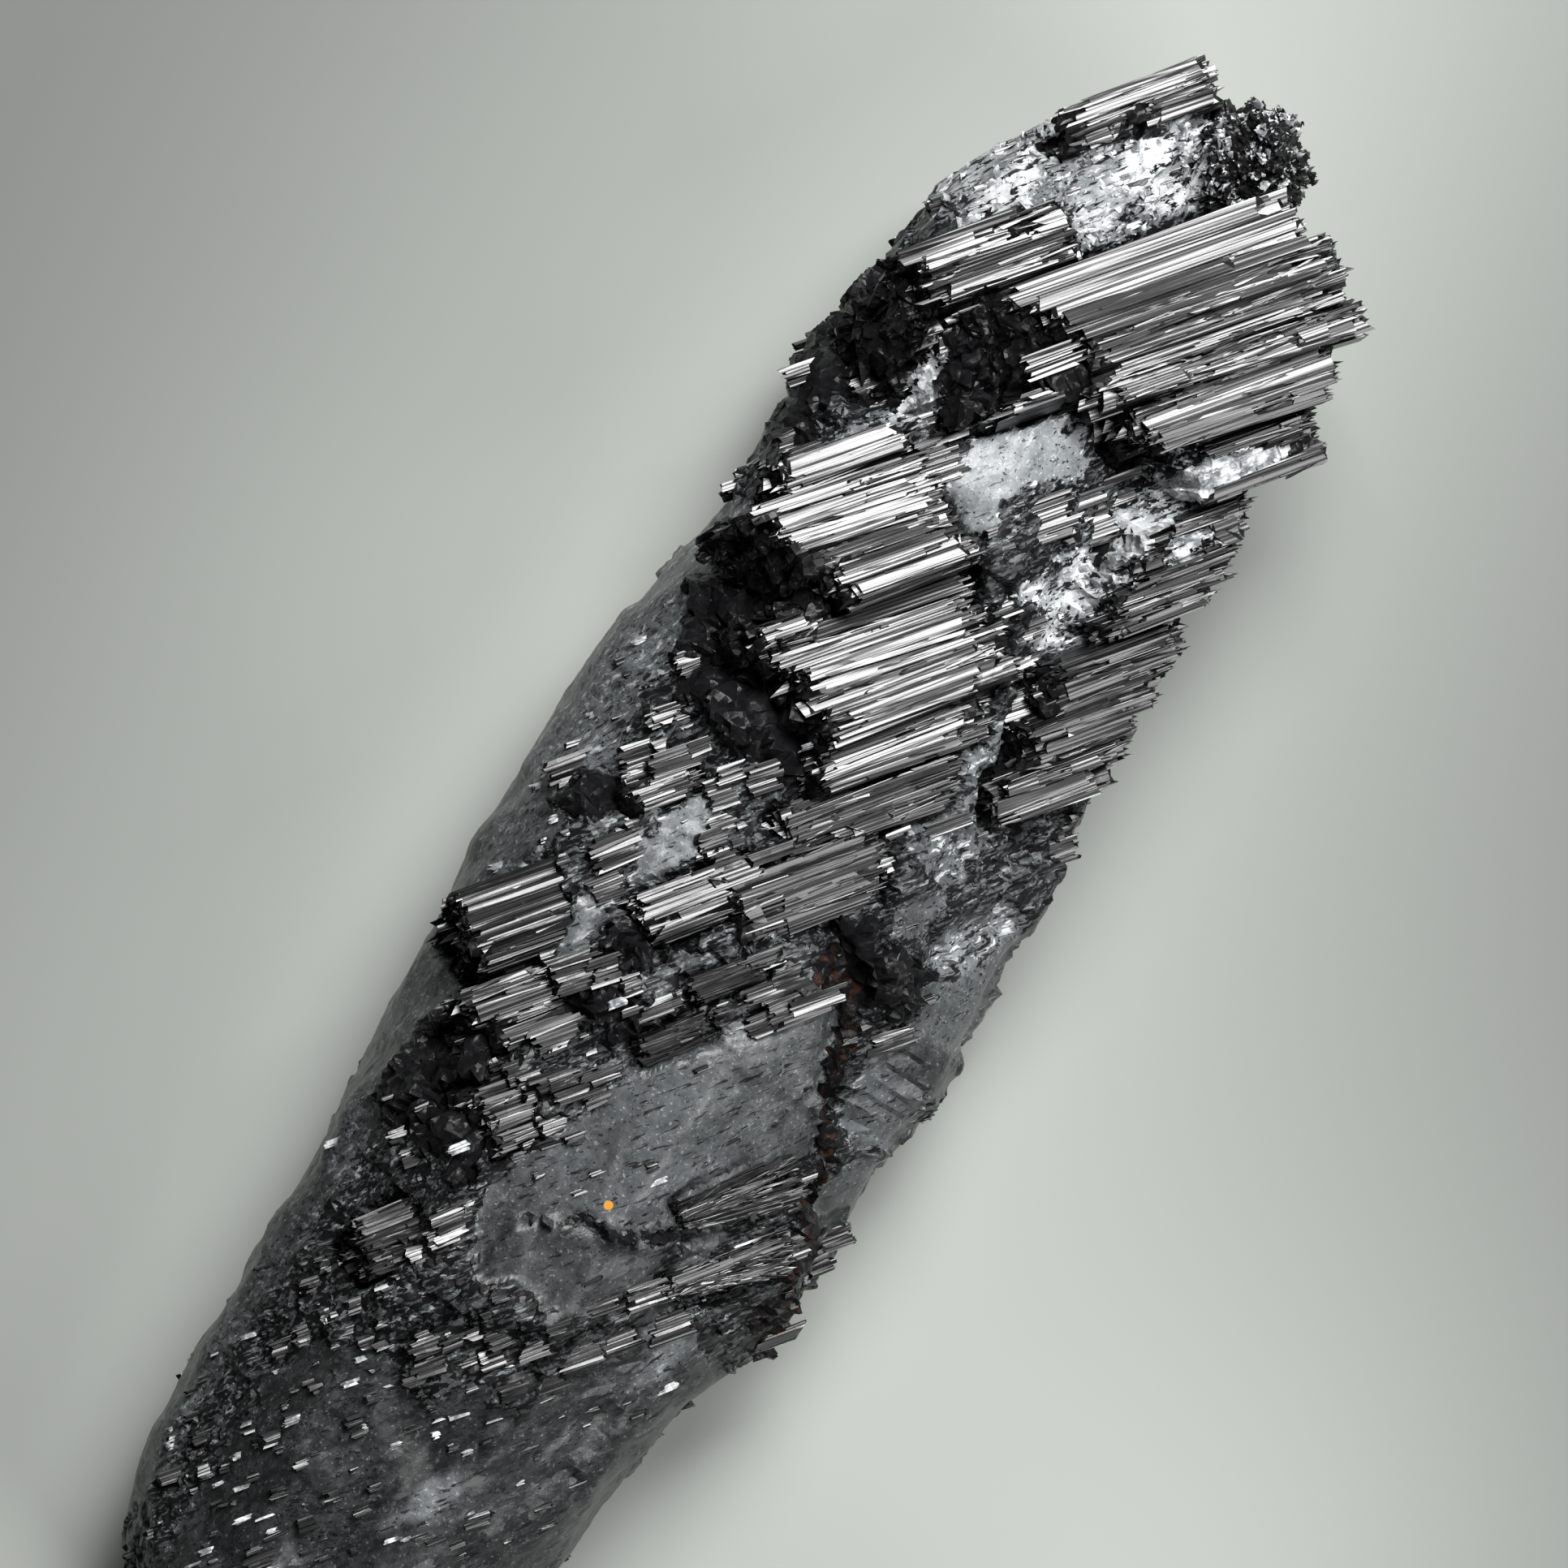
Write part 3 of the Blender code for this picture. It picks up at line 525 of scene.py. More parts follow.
def add_prism(bm, axes, start, end, across, out, dice, broken=0.5, uneven=0.06, roll=0.0, chamfer=0.03):
    """Adds one prism to bm. axes has the prism's along, across and out directions as columns, start and end
    are its middle line's ends, across and out its half-sizes, all in millimetres. broken is the raggedness
    of its ends as a share of its width."""
    length = (end - start).length
    mesh, points, edge, ring = SHORT if length < 3 else MEDIUM if length < 9 else LONG
    shape = points.copy()
    for column, half in ((1, across), (2, out)):
        near_corner = 1 - min(chamfer / half, 0.4)
        corner = np.where(np.abs(points[:, column]) > 0.6, 1.0, near_corner)
        shape[:, column] = np.sign(points[:, column]) * corner
    shape[edge < 0, 1:] = 0
    offsets = 1 + uneven * dice.normal(size=(8, 2))
    on_edge = edge >= 0
    shape[on_edge, 1:] *= offsets[edge[on_edge]]
    wave = 0.03 * dice.normal(size=(ring.max() + 1, 2))
    shape[:, 1:] += wave[ring]
    shape[:, 1] *= 1 + np.clip(dice.normal() * TAPER, -0.45, 0.45) * points[:, 0]
    for side in (-1, 1):
        cap = points[:, 0] * side > 0.99
        tip = dice.normal(size=cap.sum()) * broken * (across + out) * 0.5
        slope = dice.normal(size=2) * 0.5 * broken
        shape[cap, 0] += (tip + (points[cap, 1:] * (across, out)) @ slope) / max(0.5 * length, 1e-3)
    turned = np.array([[math.cos(roll), -math.sin(roll)], [math.sin(roll), math.cos(roll)]])
    section = (shape[:, 1:] * (across, out)) @ turned.T
    middle = 0.5 * (start + end)
    way = np.array((end - start) / length)
    placed = np.array(middle) + np.outer(shape[:, 0] * 0.5 * length, way)
    placed = placed + np.outer(section[:, 0], axes[:, 1]) + np.outer(section[:, 1], axes[:, 2])
    mesh.vertices.foreach_set("co", ((placed + np.array(PLAN_SHIFT)) * MM).astype(np.float32).ravel())
    bm.from_mesh(mesh)


# %% [markdown]
# ## The large blocks
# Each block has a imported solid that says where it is: a few coarse planks with a leaning broken end. Thin
# prisms are laid inside it in columns and layers. For every prism one ray runs along the crystals'
# direction, and the places where it enters and leaves the solid are the prism's two ends, give or take a
# little. So the fine crystals always fill the coarse solid, whatever it is changed to. A slightly smaller
# copy of the solid is the dark core.

# %% Find a block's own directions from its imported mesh


def arrays_of(name):
    """Corner points in plan millimetres, normals and areas of a node's triangles."""
    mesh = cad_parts[name].data
    points = to_plan([v.co for v in mesh.vertices])
    faces = points[np.array([tuple(f.vertices) for f in mesh.polygons])]
    crossed = np.cross(faces[:, 1] - faces[:, 0], faces[:, 2] - faces[:, 0])
    doubled = np.linalg.norm(crossed, axis=1)
    return faces, crossed / doubled[:, None], doubled / 2


LONG_SIDE = 0.35  # a face is a long side if it faces less than this along the crystals
UPPER_FACE = 0.6  # and an upper one if it faces more than this upwards


def block_axes(name):
    """The block's along, across and out directions: no long side of a prism faces along it, and most of the
    upper sides face out of it."""
    faces, normals, areas = arrays_of(name)
    sides = np.abs(normals @ np.array(ALONG)) < LONG_SIDE
    spread = (normals[sides] * areas[sides, None]).T @ normals[sides]
    along = np.linalg.eigh(spread)[1][:, 0]
    along *= np.sign(along[0])
    upper = sides & (normals[:, 2] > UPPER_FACE)
    out = (normals[upper] * areas[upper, None] ** 2).sum(axis=0)
    out -= along * (out @ along)
    out /= np.linalg.norm(out)
    return np.stack([along, np.cross(out, along), out], axis=1)


def plan_tree(name):
    """A ray tree of one node, in plan millimetres."""
    bm = bmesh.new()
    bm.from_mesh(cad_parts[name].data)
    bmesh.ops.remove_doubles(bm, verts=bm.verts, dist=0.001 * MM)
    for vertex in bm.verts:
        vertex.co = vertex.co / MM - PLAN_SHIFT
    tree = BVHTree.FromBMesh(bm)
    return tree, bm


# %% Lay prisms inside a block
NEEDLE, FINE_PLANK, COARSE_PLANK = (0.12, 0.27), (0.18, 0.42), (0.5, 1.3)  # widths of prisms, millimetres
SHEAF_WIDTH = (0.7, 3.0)  # neighbours within this width share their roll, their yaw and their right end
LAYER_DEPTHS = (0.42, 0.55, 0.8, 1.2, 1.6, 2.0, 2.4)  # from the top down
CORE_SHRINK, CORE_SHORTEN = 0.35, 1.6  # how much thinner and shorter the core is, millimetres
CRUST_GRAIN, CRUST_ROUNDS = 0.5, 7  # longest edge in the broken parts, and how often they may be divided
RUN_STEP = 0.4  # how finely a prism is searched for the places where it is broken off
CALM_COARSE, CALM_WILD, CALM_TERRACES = 0.8, 0.35, -0.5  # coarse share, turns and terraces of calm crystals


def add_core(bm, shape, axes):
    """The solid itself, a little smaller across, so that nothing shines between the prisms. Its left end
    and what lies in a black zone are subdivided and chipped: they are the rock-like break that the prisms
    end in."""
    along = Vector(axes[:, 0])
    bmesh.ops.recalc_face_normals(shape, faces=shape.faces)
    shape.normal_update()
    lengths = [along.dot(v.co) for v in shape.verts]
    first, last = min(lengths), max(lengths)
    for vertex in shape.verts:
        l = along.dot(vertex.co)
        aside = vertex.normal - along * vertex.normal.dot(along)
        towards_right = max(0.0, (l - first) / (last - first) - 0.3)
        vertex.co -= aside * CORE_SHRINK + along * CORE_SHORTEN * towards_right
    for _ in range(CRUST_ROUNDS):
        shape.normal_update()
        faces = [face for face in shape.faces if face.normal.z > -0.4]
        black, white = rubble(np.array([face.calc_center_median() for face in faces]))
        crust = [face for face, hit in zip(faces, black | white) if hit or face.normal.dot(along) < -0.3]
        long_edges = {edge for face in crust for edge in face.edges if edge.calc_length() > CRUST_GRAIN}
        if not long_edges:
            break
        bmesh.ops.subdivide_edges(shape, edges=list(long_edges), cuts=1)
        bmesh.ops.triangulate(shape, faces=shape.faces)
    for face, hit in zip(faces, white & ~black):
        face.material_index = int(hit)
    broken = shape.verts.layers.float.new("broken")
    for vertex in {v for face in crust for v in face.verts}:
        way = (vertex.normal - along * 0.5).normalized()
        pale = any(face.material_index for face in vertex.link_faces)
        vertex.co += way * min(rock(vertex.co), 0.55) * (0.4 if pale else 1.0)
        vertex[broken] = 1.0
    for vertex in shape.verts:
        vertex.co = (vertex.co + PLAN_SHIFT) * MM
    mesh = bpy.data.meshes.new("core")
    shape.to_mesh(mesh)
    bm.from_mesh(mesh)
    bpy.data.meshes.remove(mesh)


def top_level(tree, axes, low, high, s):
    """How far out the solid reaches above the line at s, or None beside it."""
    tops = []
    for l in np.linspace(low[0], high[0], 9)[1:-1]:
        hit = tree.ray_cast(Vector(axes @ np.array((l, s, high[2] + 1))), Vector(-axes[:, 2]))
        if hit[0]:
            tops.append(high[2] + 1 - hit[3])
    return max(tops) if tops else None


def runs_of(first, last, s, level, axes, layer, key, terraces):
    """The stretches of one prism that are still there. A smooth noise breaks off neighbouring prisms
    together, so the top of the block goes down in terraces, and black rubble ends every prism."""
    stations = np.linspace(first, last, max(2, int((last - first) / RUN_STEP)))
    places = np.outer(stations, axes[:, 0]) + axes[:, 1] * s + axes[:, 2] * level
    limit = (0.36, 0.56, 0.76)[layer] - terraces if layer < 3 else 9
    wave = [noise.noise(Vector((l / 7 + key, s / 1.3, layer * 5.0 + key))) for l in stations]
    black, white = rubble(places)
    kept = (np.array(wave) < limit) & ~black & ~white
    runs, start = [], None
    for l, here in zip(stations, kept):
        if here and start is None:
            start = l
        if not here and start is not None:
            runs.append((start, l))
            start = None
    if start is not None:
        runs.append((start, last))
    return [(a, b) for a, b in runs if b - a > 0.9]


def add_slivers(bm, tree, axes, low, high, pinched, dice, many, stray, calm_from):
    """Thin stray prisms, many on each square millimetre of the block's top."""
    area = (high[0] - low[0]) * (high[1] - low[1])
    for _ in range(int(area * many)):
        l, s = dice.uniform(low[0], high[0]), dice.uniform(low[1], high[1])
        start = Vector(axes @ np.array((l, s, high[2] + 1)))
        hit = tree.ray_cast(start, Vector(-axes[:, 2]))
        if not hit[0] or Vector(axes[:, 2]).dot(hit[1]) < 0.5 or ACROSS.dot(hit[0]) > calm_from:
            continue
        level = high[2] + 1 - hit[3]
        half_length, half = dice.uniform(0.8, 3.0), dice.uniform(0.06, 0.16)
        aside = math.tan(math.radians(dice.normal() * 3 * stray))
        upwards = math.tan(math.radians(dice.normal() * 0.8))
        inner = Vector(axes @ np.array((l, s, level - 0.2)))
        ends = []
        for side in (-1, 1):
            free = tree.ray_cast(inner, Vector(axes[:, 0]) * side)[3] or 0.0
            step = side * min(half_length, max(free - 0.1, 0.05))
            height = level + step * upwards - half * dice.uniform(0.2, 0.9)
            ends.append(Vector(axes @ np.array((l + step, pinched(l + step, s) + step * aside, height))))
        if (ends[1] - ends[0]).length > 0.6 and not np.any(rubble(np.array(ends))):
            add_prism(bm, axes, *ends, half, half, dice, broken=1.8, roll=dice.normal() * 0.3)


# %% One block, whole


def lay_block(name, coarse=0.25, rough_end=0.6, tail=1.4, terraces=0.0, stray=1.0, roll=0.1, slivers=0.7,
              pinch=1.0, calm_from=99.0, turn_away=0.0, fine=FINE_PLANK):
    """The detailed piece for one block, as a bmesh in metres. coarse is the share of coarse prisms, and
    fine is the widths of the others. rough_end and tail are how far the left and right ends are broken
    back, and terraces how much the top is. stray is in degrees, roll and turn_away in radians, slivers is
    how many lie on each square millimetre of the top, and pinch narrows the left end. From calm_from on,
    across the plan, the crystals are wide and whole."""
    dice = np.random.default_rng([SEED, sum(map(ord, name))])
    axes = block_axes(name)
    tree, shape = plan_tree(name)
    corners = np.array([v.co for v in shape.verts]) @ axes
    low, high = corners.min(axis=0), corners.max(axis=0)
    centre = 0.5 * (low + high)
    key = float(dice.uniform(0, 90))
    bm = bmesh.new()
    bm.verts.layers.float.new("broken")

    def pinched(l, s):
        """The place across the block of what lay at s before its left end was narrowed."""
        return centre[1] + (s - centre[1]) * (pinch + (1 - pinch) * (l - low[0]) / (high[0] - low[0]))

    s = sheaf_end = low[1] - 0.02
    while s < high[1]:
        calm = ACROSS.dot(Vector(axes @ np.array((centre[0], s, high[2])))) > calm_from
        wild = CALM_WILD if calm else 1.0
        if s >= sheaf_end:
            sheaf_end = s + dice.uniform(*SHEAF_WIDTH)
            sheaf_roll, sheaf_yaw = dice.normal() * roll, dice.normal() * stray
            sheaf_tail = dice.random() ** 2 * tail
        widths = COARSE_PLANK if dice.random() < (CALM_COARSE if calm else coarse) else fine
        breadth = dice.uniform(*widths)
        middle_s = s + breadth / 2
        s += breadth
        crest = top_level(tree, axes, low, high, middle_s)
        if crest is None:
            continue
        top = crest + 0.09 * noise.noise(Vector((middle_s / 0.9, key, 3.0))) + dice.normal() * 0.03
        for layer, depth in enumerate(LAYER_DEPTHS):
            depth = depth * dice.uniform(0.85, 1.15)
            level = top - depth / 2
            top -= depth
            entry = Vector(axes @ np.array((low[0] - 1, middle_s, min(level, crest - 0.12))))
            hit = tree.ray_cast(entry, Vector(axes[:, 0]))
            if not hit[0]:
                continue
            first = low[0] - 1 + hit[3]
            inner = tree.ray_cast(entry + Vector(axes[:, 0]) * (hit[3] + 0.01), Vector(axes[:, 0]))
            last = first + 0.01 + inner[3] if inner[0] else high[0]
            ragged_end = noise.noise(Vector((middle_s / 1.1, level / 0.9, key)))
            first += max(rough_end * (0.7 + ragged_end * 1.3) + dice.normal() * 0.10, 0.1)
            last -= max(0.0, 2.2 - layer) * sheaf_tail * dice.uniform(0.4, 1.1) + tail * 0.4 * dice.random()
            if last - first < 0.8:
                continue
            yaw = math.radians(sheaf_yaw + dice.normal() * 0.4) * wild
            turned = turn_away + (sheaf_roll + dice.normal() * 0.06) * wild
            steps = CALM_TERRACES if calm else terraces
            for begin, end in runs_of(first, last, middle_s, level, axes, layer, key, steps):
                ends = []
                for l in (begin - 0.05, end + 0.05):
                    side = pinched(l, middle_s) + (l - centre[0]) * math.tan(yaw)
                    ends.append(Vector(axes @ np.array((l, side, level))))
                half = breadth * 0.5 + dice.uniform(0.03, 0.10)
                add_prism(bm, axes, *ends, half, depth * 0.62, dice, broken=0.8, roll=turned)
    add_slivers(bm, tree, axes, low, high, pinched, dice, slivers, stray, calm_from)
    for vertex in shape.verts:
        l, s, level = np.array(vertex.co) @ axes
        vertex.co = Vector(axes @ np.array((l, pinched(l, s), level)))
    add_core(bm, shape, axes)
    shape.free()
    return bm

# %% Lay all the blocks
SPARE = 0.3 * MM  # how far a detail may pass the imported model's box


def keep_in_box(bm):
    """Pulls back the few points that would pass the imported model's box."""
    for vertex in bm.verts:
        for k in range(3):
            vertex.co[k] = min(max(vertex.co[k], cad_low[k] - SPARE), cad_high[k] + SPARE)


def mesh_from(bm, name):
    """The bmesh as a flat-shaded mesh datablock; the bmesh is freed."""
    mesh = bpy.data.meshes.new(name)
    bm.to_mesh(mesh)
    bm.free()
    return mesh


def piece_from(bm, name, slot, *nodes):
    """The bmesh as a finished piece within the box."""
    keep_in_box(bm)
    return piece(mesh_from(bm, name), name, slot, *nodes)


FLANK_STYLE = {"coarse": 0.1, "turn_away": 0.28, "roll": 0.14, "terraces": 0.1}
EDGE_STYLE = {"rough_end": 1.6, "terraces": 0.14, "tail": 2.4, "roll": 0.16}
FAN_STYLE = {
    "coarse": 0.0, "fine": NEEDLE, "stray": 2.4, "tail": 4.0, "rough_end": 0.2, "turn_away": 0.16,
    "slivers": 2.2, "terraces": 0.1,
}
BLOCK_STYLES = {
    "crown_block": {
        "stray": 1.1, "slivers": 1.6, "terraces": 0.16, "tail": 2.4, "calm_from": 39.2, "roll": 0.14,
        "turn_away": 0.05,
    },
    "shoulder_block": {"terraces": 0.12, "coarse": 0.5},
    "big_block": {"coarse": 0.12, "tail": 2.0, "terraces": -0.2, "roll": 0.08, "stray": 1.4},
    "second_block": {
        "coarse": 0.12, "tail": 3.0, "terraces": -0.1, "roll": 0.09, "turn_away": -0.09, "stray": 1.4,
    },
    "ledge_crystals": {"coarse": 0.6, "tail": 3.0, "terraces": 0.1},
    "centre_crystal": {"terraces": 0.08},
    "flank_block_upper": {"coarse": 0.1, "turn_away": -0.06, "roll": 0.12, "terraces": 0.05},
    "flank_block_middle": FLANK_STYLE,
    "flank_block_lower": FLANK_STYLE,
    "small_block": {"coarse": 0.1, "turn_away": -0.08, "roll": 0.12},
    "fan_sheaf": {**FAN_STYLE, "pinch": 0.4},
    "low_fan_sheaf": {**FAN_STYLE, "pinch": 0.35},
    "edge_sheaf_upper": EDGE_STYLE,
    "edge_sheaf_lower": {**EDGE_STYLE, "terraces": 0.1},
    "right_sheaf": {"terraces": 0.14, "roll": 0.16, "coarse": 0.5},
    "tip_sheaf": {"rough_end": 1.4, "terraces": 0.14, "roll": 0.16},
    "crown_blade": {"rough_end": 2.4, "terraces": 0.1, "coarse": 0.5, "roll": 0.06, "turn_away": 0.2},
}
blocks = []
for name in crystal_names:
    if name == "crown_knob":
        continue
    bm = lay_block(name, **BLOCK_STYLES.get(name, {}))
    made = piece_from(bm, name + "_crystals", "tourmaline", name)
    blocks.append(made)
    print(name, len(made.data.polygons), "triangles")

# %% [markdown]
# ## The small crystals between the blocks
# Between the large blocks the log is a mosaic of little sheaves that lie like fallen slates: a few prisms
# side by side with one broken end in common. They are strewn over the quartz skin. Because the crystals
# dip, the left end of each sheaf stands out of the skin and its right end dives into it. Those that catch
# the eye are listed one by one. Bare and black places get a few thin needles only, and some of these are
# pale splinters of quartz.

# %% The sheaves that are listed one by one, and how one is made
PLACED_SHEAVES = rows(  # x, y, length and breadth
    "2.4 19.8 4.6 2.2, 7 14.2 6 3.6, 10.8 15.5 3.2 1.8, 16.1 15.8 3 2.2, -1.4 12.4 5.4 2.6, "
    "7.6 10.5 3.4 1.4, 10.2 11.1 3 1.2, 10.9 4.9 3.6 2.4, 9.9 7.5 3.2 1.5, 43.6 -3.7 7 3.2, "
    "55.4 2.6 6.4 2, 45.6 15.2 4.4 1.5, -23 -4.7 1.2 0.8, -24.6 2.3 2.2 0.7, -29 3.2 1.2 0.5, "
    "-10.8 7.6 3.2 2.2, -10.6 5 2 1.6, -33.6 13.4 2.4 1.6, -33 15.6 2 1, -38.6 9.6 2.6 1.4, "
    "-20.6 4.6 5 2.4, -6.6 -7 5.5 2, -2.4 -3.8 5 1.6, -4.4 -5.6 6 1.2, 44 -16 6 2.4, 38.6 -14.6 5 2, "
    "31 -12.6 4 1.4, 22 -13.6 5 1.2, 16 -11.2 5 0.9, 47.2 -6.4 4.6 1.4, -50 3 2.6 1.2, -48.2 2.4 3.2 0.9, "
    "-46.2 4.2 2.2 0.9, -45.6 1.8 2.4 1, -43.8 0.4 2.2 0.9, -43 -1.6 2.8 1.4, -41.6 0.4 2 0.7, "
    "-46.4 -5 2.8 1.3, -44.2 -7.4 3.4 1.2, -40.6 -8.2 4.6 2.4, -37.8 -10.6 4.2 1.8, -35.8 -7.8 3.6 1.3, "
    "-42.4 -4.6 3 1.2, -39.4 -5.4 2.4 0.8, -61.4 10.6 2.4 1, -58.6 10.2 2.2 0.9, -55.4 9.8 1.6 0.8, "
    "-65 7.8 1.6 0.9, -71 6 3.2 1.1, -66 4.2 2.2 1, -56 5.6 1.8 0.8, -49.6 8.2 1.8 1, -52.4 13 2 1, "
    "-53.4 5.2 1.6 0.7, -47.4 8 1.4 0.7, -45 9.4 1.6 0.8, -51.4 10.4 1.2 0.6, -62.6 3.6 1.8 0.8, "
    "-58 -8.4 3 0.9"
)


def add_sheaf(bm, point, out, dice, length, breadth, proud, single=0.36):
    """A few prisms side by side. point is on the skin, out points away from it, and proud is how far the
    middle of the sheaf's top stands out."""
    way = (Vector(ALONG) + Vector(dice.normal(size=3)) * 0.03).normalized()
    out = (out - way * way.dot(out)).normalized()
    across = out.cross(way)
    axes = np.stack([np.array(way), np.array(across), np.array(out)], axis=1)
    s = -breadth / 2
    while s < breadth / 2:
        half = single * dice.uniform(0.3, 0.8)
        deep = half * dice.uniform(0.8, 1.3) + 0.15
        middle = point + across * (s + half) + out * (proud - deep + dice.normal() * 0.05)
        begin, end = length * dice.uniform(0.36, 0.5), length * dice.uniform(0.25, 0.5)
        add_prism(bm, axes, middle - way * begin, middle + way * end, half, deep, dice, broken=0.6,
                  roll=dice.normal() * 0.12)
        s += 2 * half * 0.88


def on_skin_from_above(x, y):
    """The skin's point and normal under plan x and y, or None off the log."""
    start = Vector(((x + PLAN_SHIFT.x) * MM, (y + PLAN_SHIFT.y) * MM, 0.1))
    hit = skin_tree.ray_cast(start, Vector((0, 0, -1)))
    if not hit[0]:
        return None
    return Vector(hit[0] / MM - PLAN_SHIFT), Vector(hit[1])


def places_on_skin(xs, ys, jitter, steepest, dice):
    """Points and normals of the skin under a jittered grid where it isn't too steep, and the zones
    there."""
    found = []
    for x in xs:
        for y in ys:
            place = on_skin_from_above(x + dice.uniform(-jitter, jitter), y + dice.uniform(-jitter, jitter))
            if place and place[1].z > steepest:
                found.append(place)
    return found, zones_at(np.array([place[0] for place in found]))


# %% Strew little sheaves over the upper side
dice = np.random.default_rng(SEED)
FIELD_STEP = 1.5  # spacing of the sheaves, millimetres
FOOT_FROM = -44.0  # beyond this x, towards the foot, they are smaller, and there are more on bare quartz
PALE_SHARE = 0.35  # of the needles on bare and black places, how many are pale
field_xs, field_ys = np.arange(-84, 84, FIELD_STEP), np.arange(-24, 25, FIELD_STEP)
candidates, zone = places_on_skin(field_xs, field_ys, 0.8, 0.6, dice)
bm, pale = bmesh.new(), bmesh.new()
placed = 0
for k, (point, normal) in enumerate(candidates):
    bare, black = zone["bare"][k] > 0.5, zone["black"][k] > 0.5
    chance = 0.42 + 1.3 * noise.noise(Vector((point.x / 9, point.y / 5, 4.0)))
    if bare:
        chance = min(0.02 + 1.4 * max(0, zone["rough"][k] - 0.3), 0.2)
        chance *= 1.6 if point.x < FOOT_FROM else 1.0
    elif black:
        chance = 0.05
    if dice.random() > chance:
        continue
    size = (0.4 + dice.random() ** 3 * 2.8) * (0.6 if point.x < FOOT_FROM else 1.0)
    length = dice.uniform(0.8, 2.4) if bare or black else size * dice.uniform(1.3, 2.8)
    breadth = dice.uniform(0.15, 0.6) if bare or black else size * dice.uniform(0.4, 1.2)
    out = (OUT + normal * 0.25 + Vector(dice.normal(size=3)) * 0.08).normalized()
    length = min(length, 1.6 / max(abs(ALONG.dot(normal)), 0.15))
    made_in = pale if (bare or black) and dice.random() < PALE_SHARE else bm
    proud = length / 2 * 0.15 + dice.uniform(-0.1, 0.15)
    add_sheaf(made_in, point, out, dice, length, breadth, proud, single=0.2 if bare or black else 0.36)
    placed += 1
for x, y, length, breadth in PLACED_SHEAVES:
    point, normal = on_skin_from_above(x, y)
    add_sheaf(bm, point, OUT, dice, length, breadth, length * 0.09 + 0.15, single=0.3)
field = piece_from(bm, "mosaic_crystals", "tourmaline")
splinters = piece_from(pale, "pale_splinters", "quartz")
print(placed, "sheaves,", len(field.data.polygons), "triangles")

# %% Strew sparser, flush prisms over the flanks and the back
dice = np.random.default_rng(SEED + 1)
faces = np.array([tuple(f.vertices) for f in quartz_mesh.polygons])
faces = faces[np.lexsort(np.sort(faces, axis=1).T)]
corners = skin[faces]
crossed = np.cross(corners[:, 1] - corners[:, 0], corners[:, 2] - corners[:, 0])
areas = np.linalg.norm(crossed, axis=1) / 2
outwards = crossed / (2 * areas[:, None] + 1e-12)
FLANK_SHEAVES = 360
OVERHANG = -0.1  # they lie where the skin faces less upwards than this,
FLUSH = 0.45  # less along the crystals than this,
OFF_REST = 1.2 * MM  # and lies higher than this
flush = np.abs(outwards @ np.array(ALONG)) < FLUSH
off_rest = corners[:, :, 2].min(axis=1) > OFF_REST
weights = areas * (outwards[:, 2] < OVERHANG) * flush * off_rest
bm = bmesh.new()
for pick in dice.choice(len(faces), FLANK_SHEAVES, p=weights / weights.sum()):
    out = Vector(outwards[pick])
    point = Vector(to_plan(corners[pick].mean(axis=0)))
    slant = abs(ALONG.dot(out))
    length = min(dice.uniform(1.2, 5), 0.9 / max(slant, 0.1))
    add_sheaf(bm, point, out, dice, length, dice.uniform(0.2, 1.6), dice.uniform(-0.2, 0.0))
flank = piece_from(bm, "flank_crystals", "tourmaline")
print(FLANK_SHEAVES, "flank sheaves,", len(flank.data.polygons), "triangles")

# %% [markdown]
# ## Crumbs and the knob at the crown
# At the crown the quartz is shattered into bright crumbs, and black tourmaline has grown as a knob of
# grains instead of a bundle. A crumb is the same prism, short and turned anyhow. The knob is its packed
# solid, subdivided and chipped, with crumbs of both minerals pressed into it.

# %% A crumb, turned anyhow


def add_crumb(bm, point, out, dice, size, proud=0.2):
    """One irregular grain at the point on a surface whose normal is out."""
    way = Vector(dice.normal(size=3)).normalized()
    side = way.orthogonal().normalized()
    axes = np.stack([np.array(way), np.array(side), np.array(way.cross(side))], axis=1)
    middle = point + out * (proud - 0.5) * size
    reach = size * dice.uniform(0.25, 0.55)
    add_prism(
        bm, axes, middle - way * reach, middle + way * reach, size * dice.uniform(0.3, 0.6),
        size * dice.uniform(0.25, 0.5), dice, broken=0.7, uneven=0.2, chamfer=size * 0.12,
    )


# %% Quartz crumbs over the shattered zones
dice = np.random.default_rng(SEED + 2)
CRUMB_STEP = 0.6  # spacing of the crumbs, millimetres
crumb_xs, crumb_ys = np.arange(22, 86, CRUMB_STEP), np.arange(-24, 22, CRUMB_STEP)
spots, zone = places_on_skin(crumb_xs, crumb_ys, 0.3, 0.3, dice)
chance = 0.7 * (zone["rough"] - 0.3) * (zone["milk"] > 0.4) * (zone["bare"] > 0.5)
bm = bmesh.new()
crumbs = 0
for spot, share in zip(spots, chance):
    if dice.random() < share:
        add_crumb(bm, *spot, dice, 0.25 + 0.8 * dice.random() ** 2, proud=dice.uniform(0.0, 0.3))
        crumbs += 1
quartz_crumbs = piece_from(bm, "quartz_crumbs", "quartz")
print(crumbs, "quartz crumbs,", len(quartz_crumbs.data.polygons), "triangles")

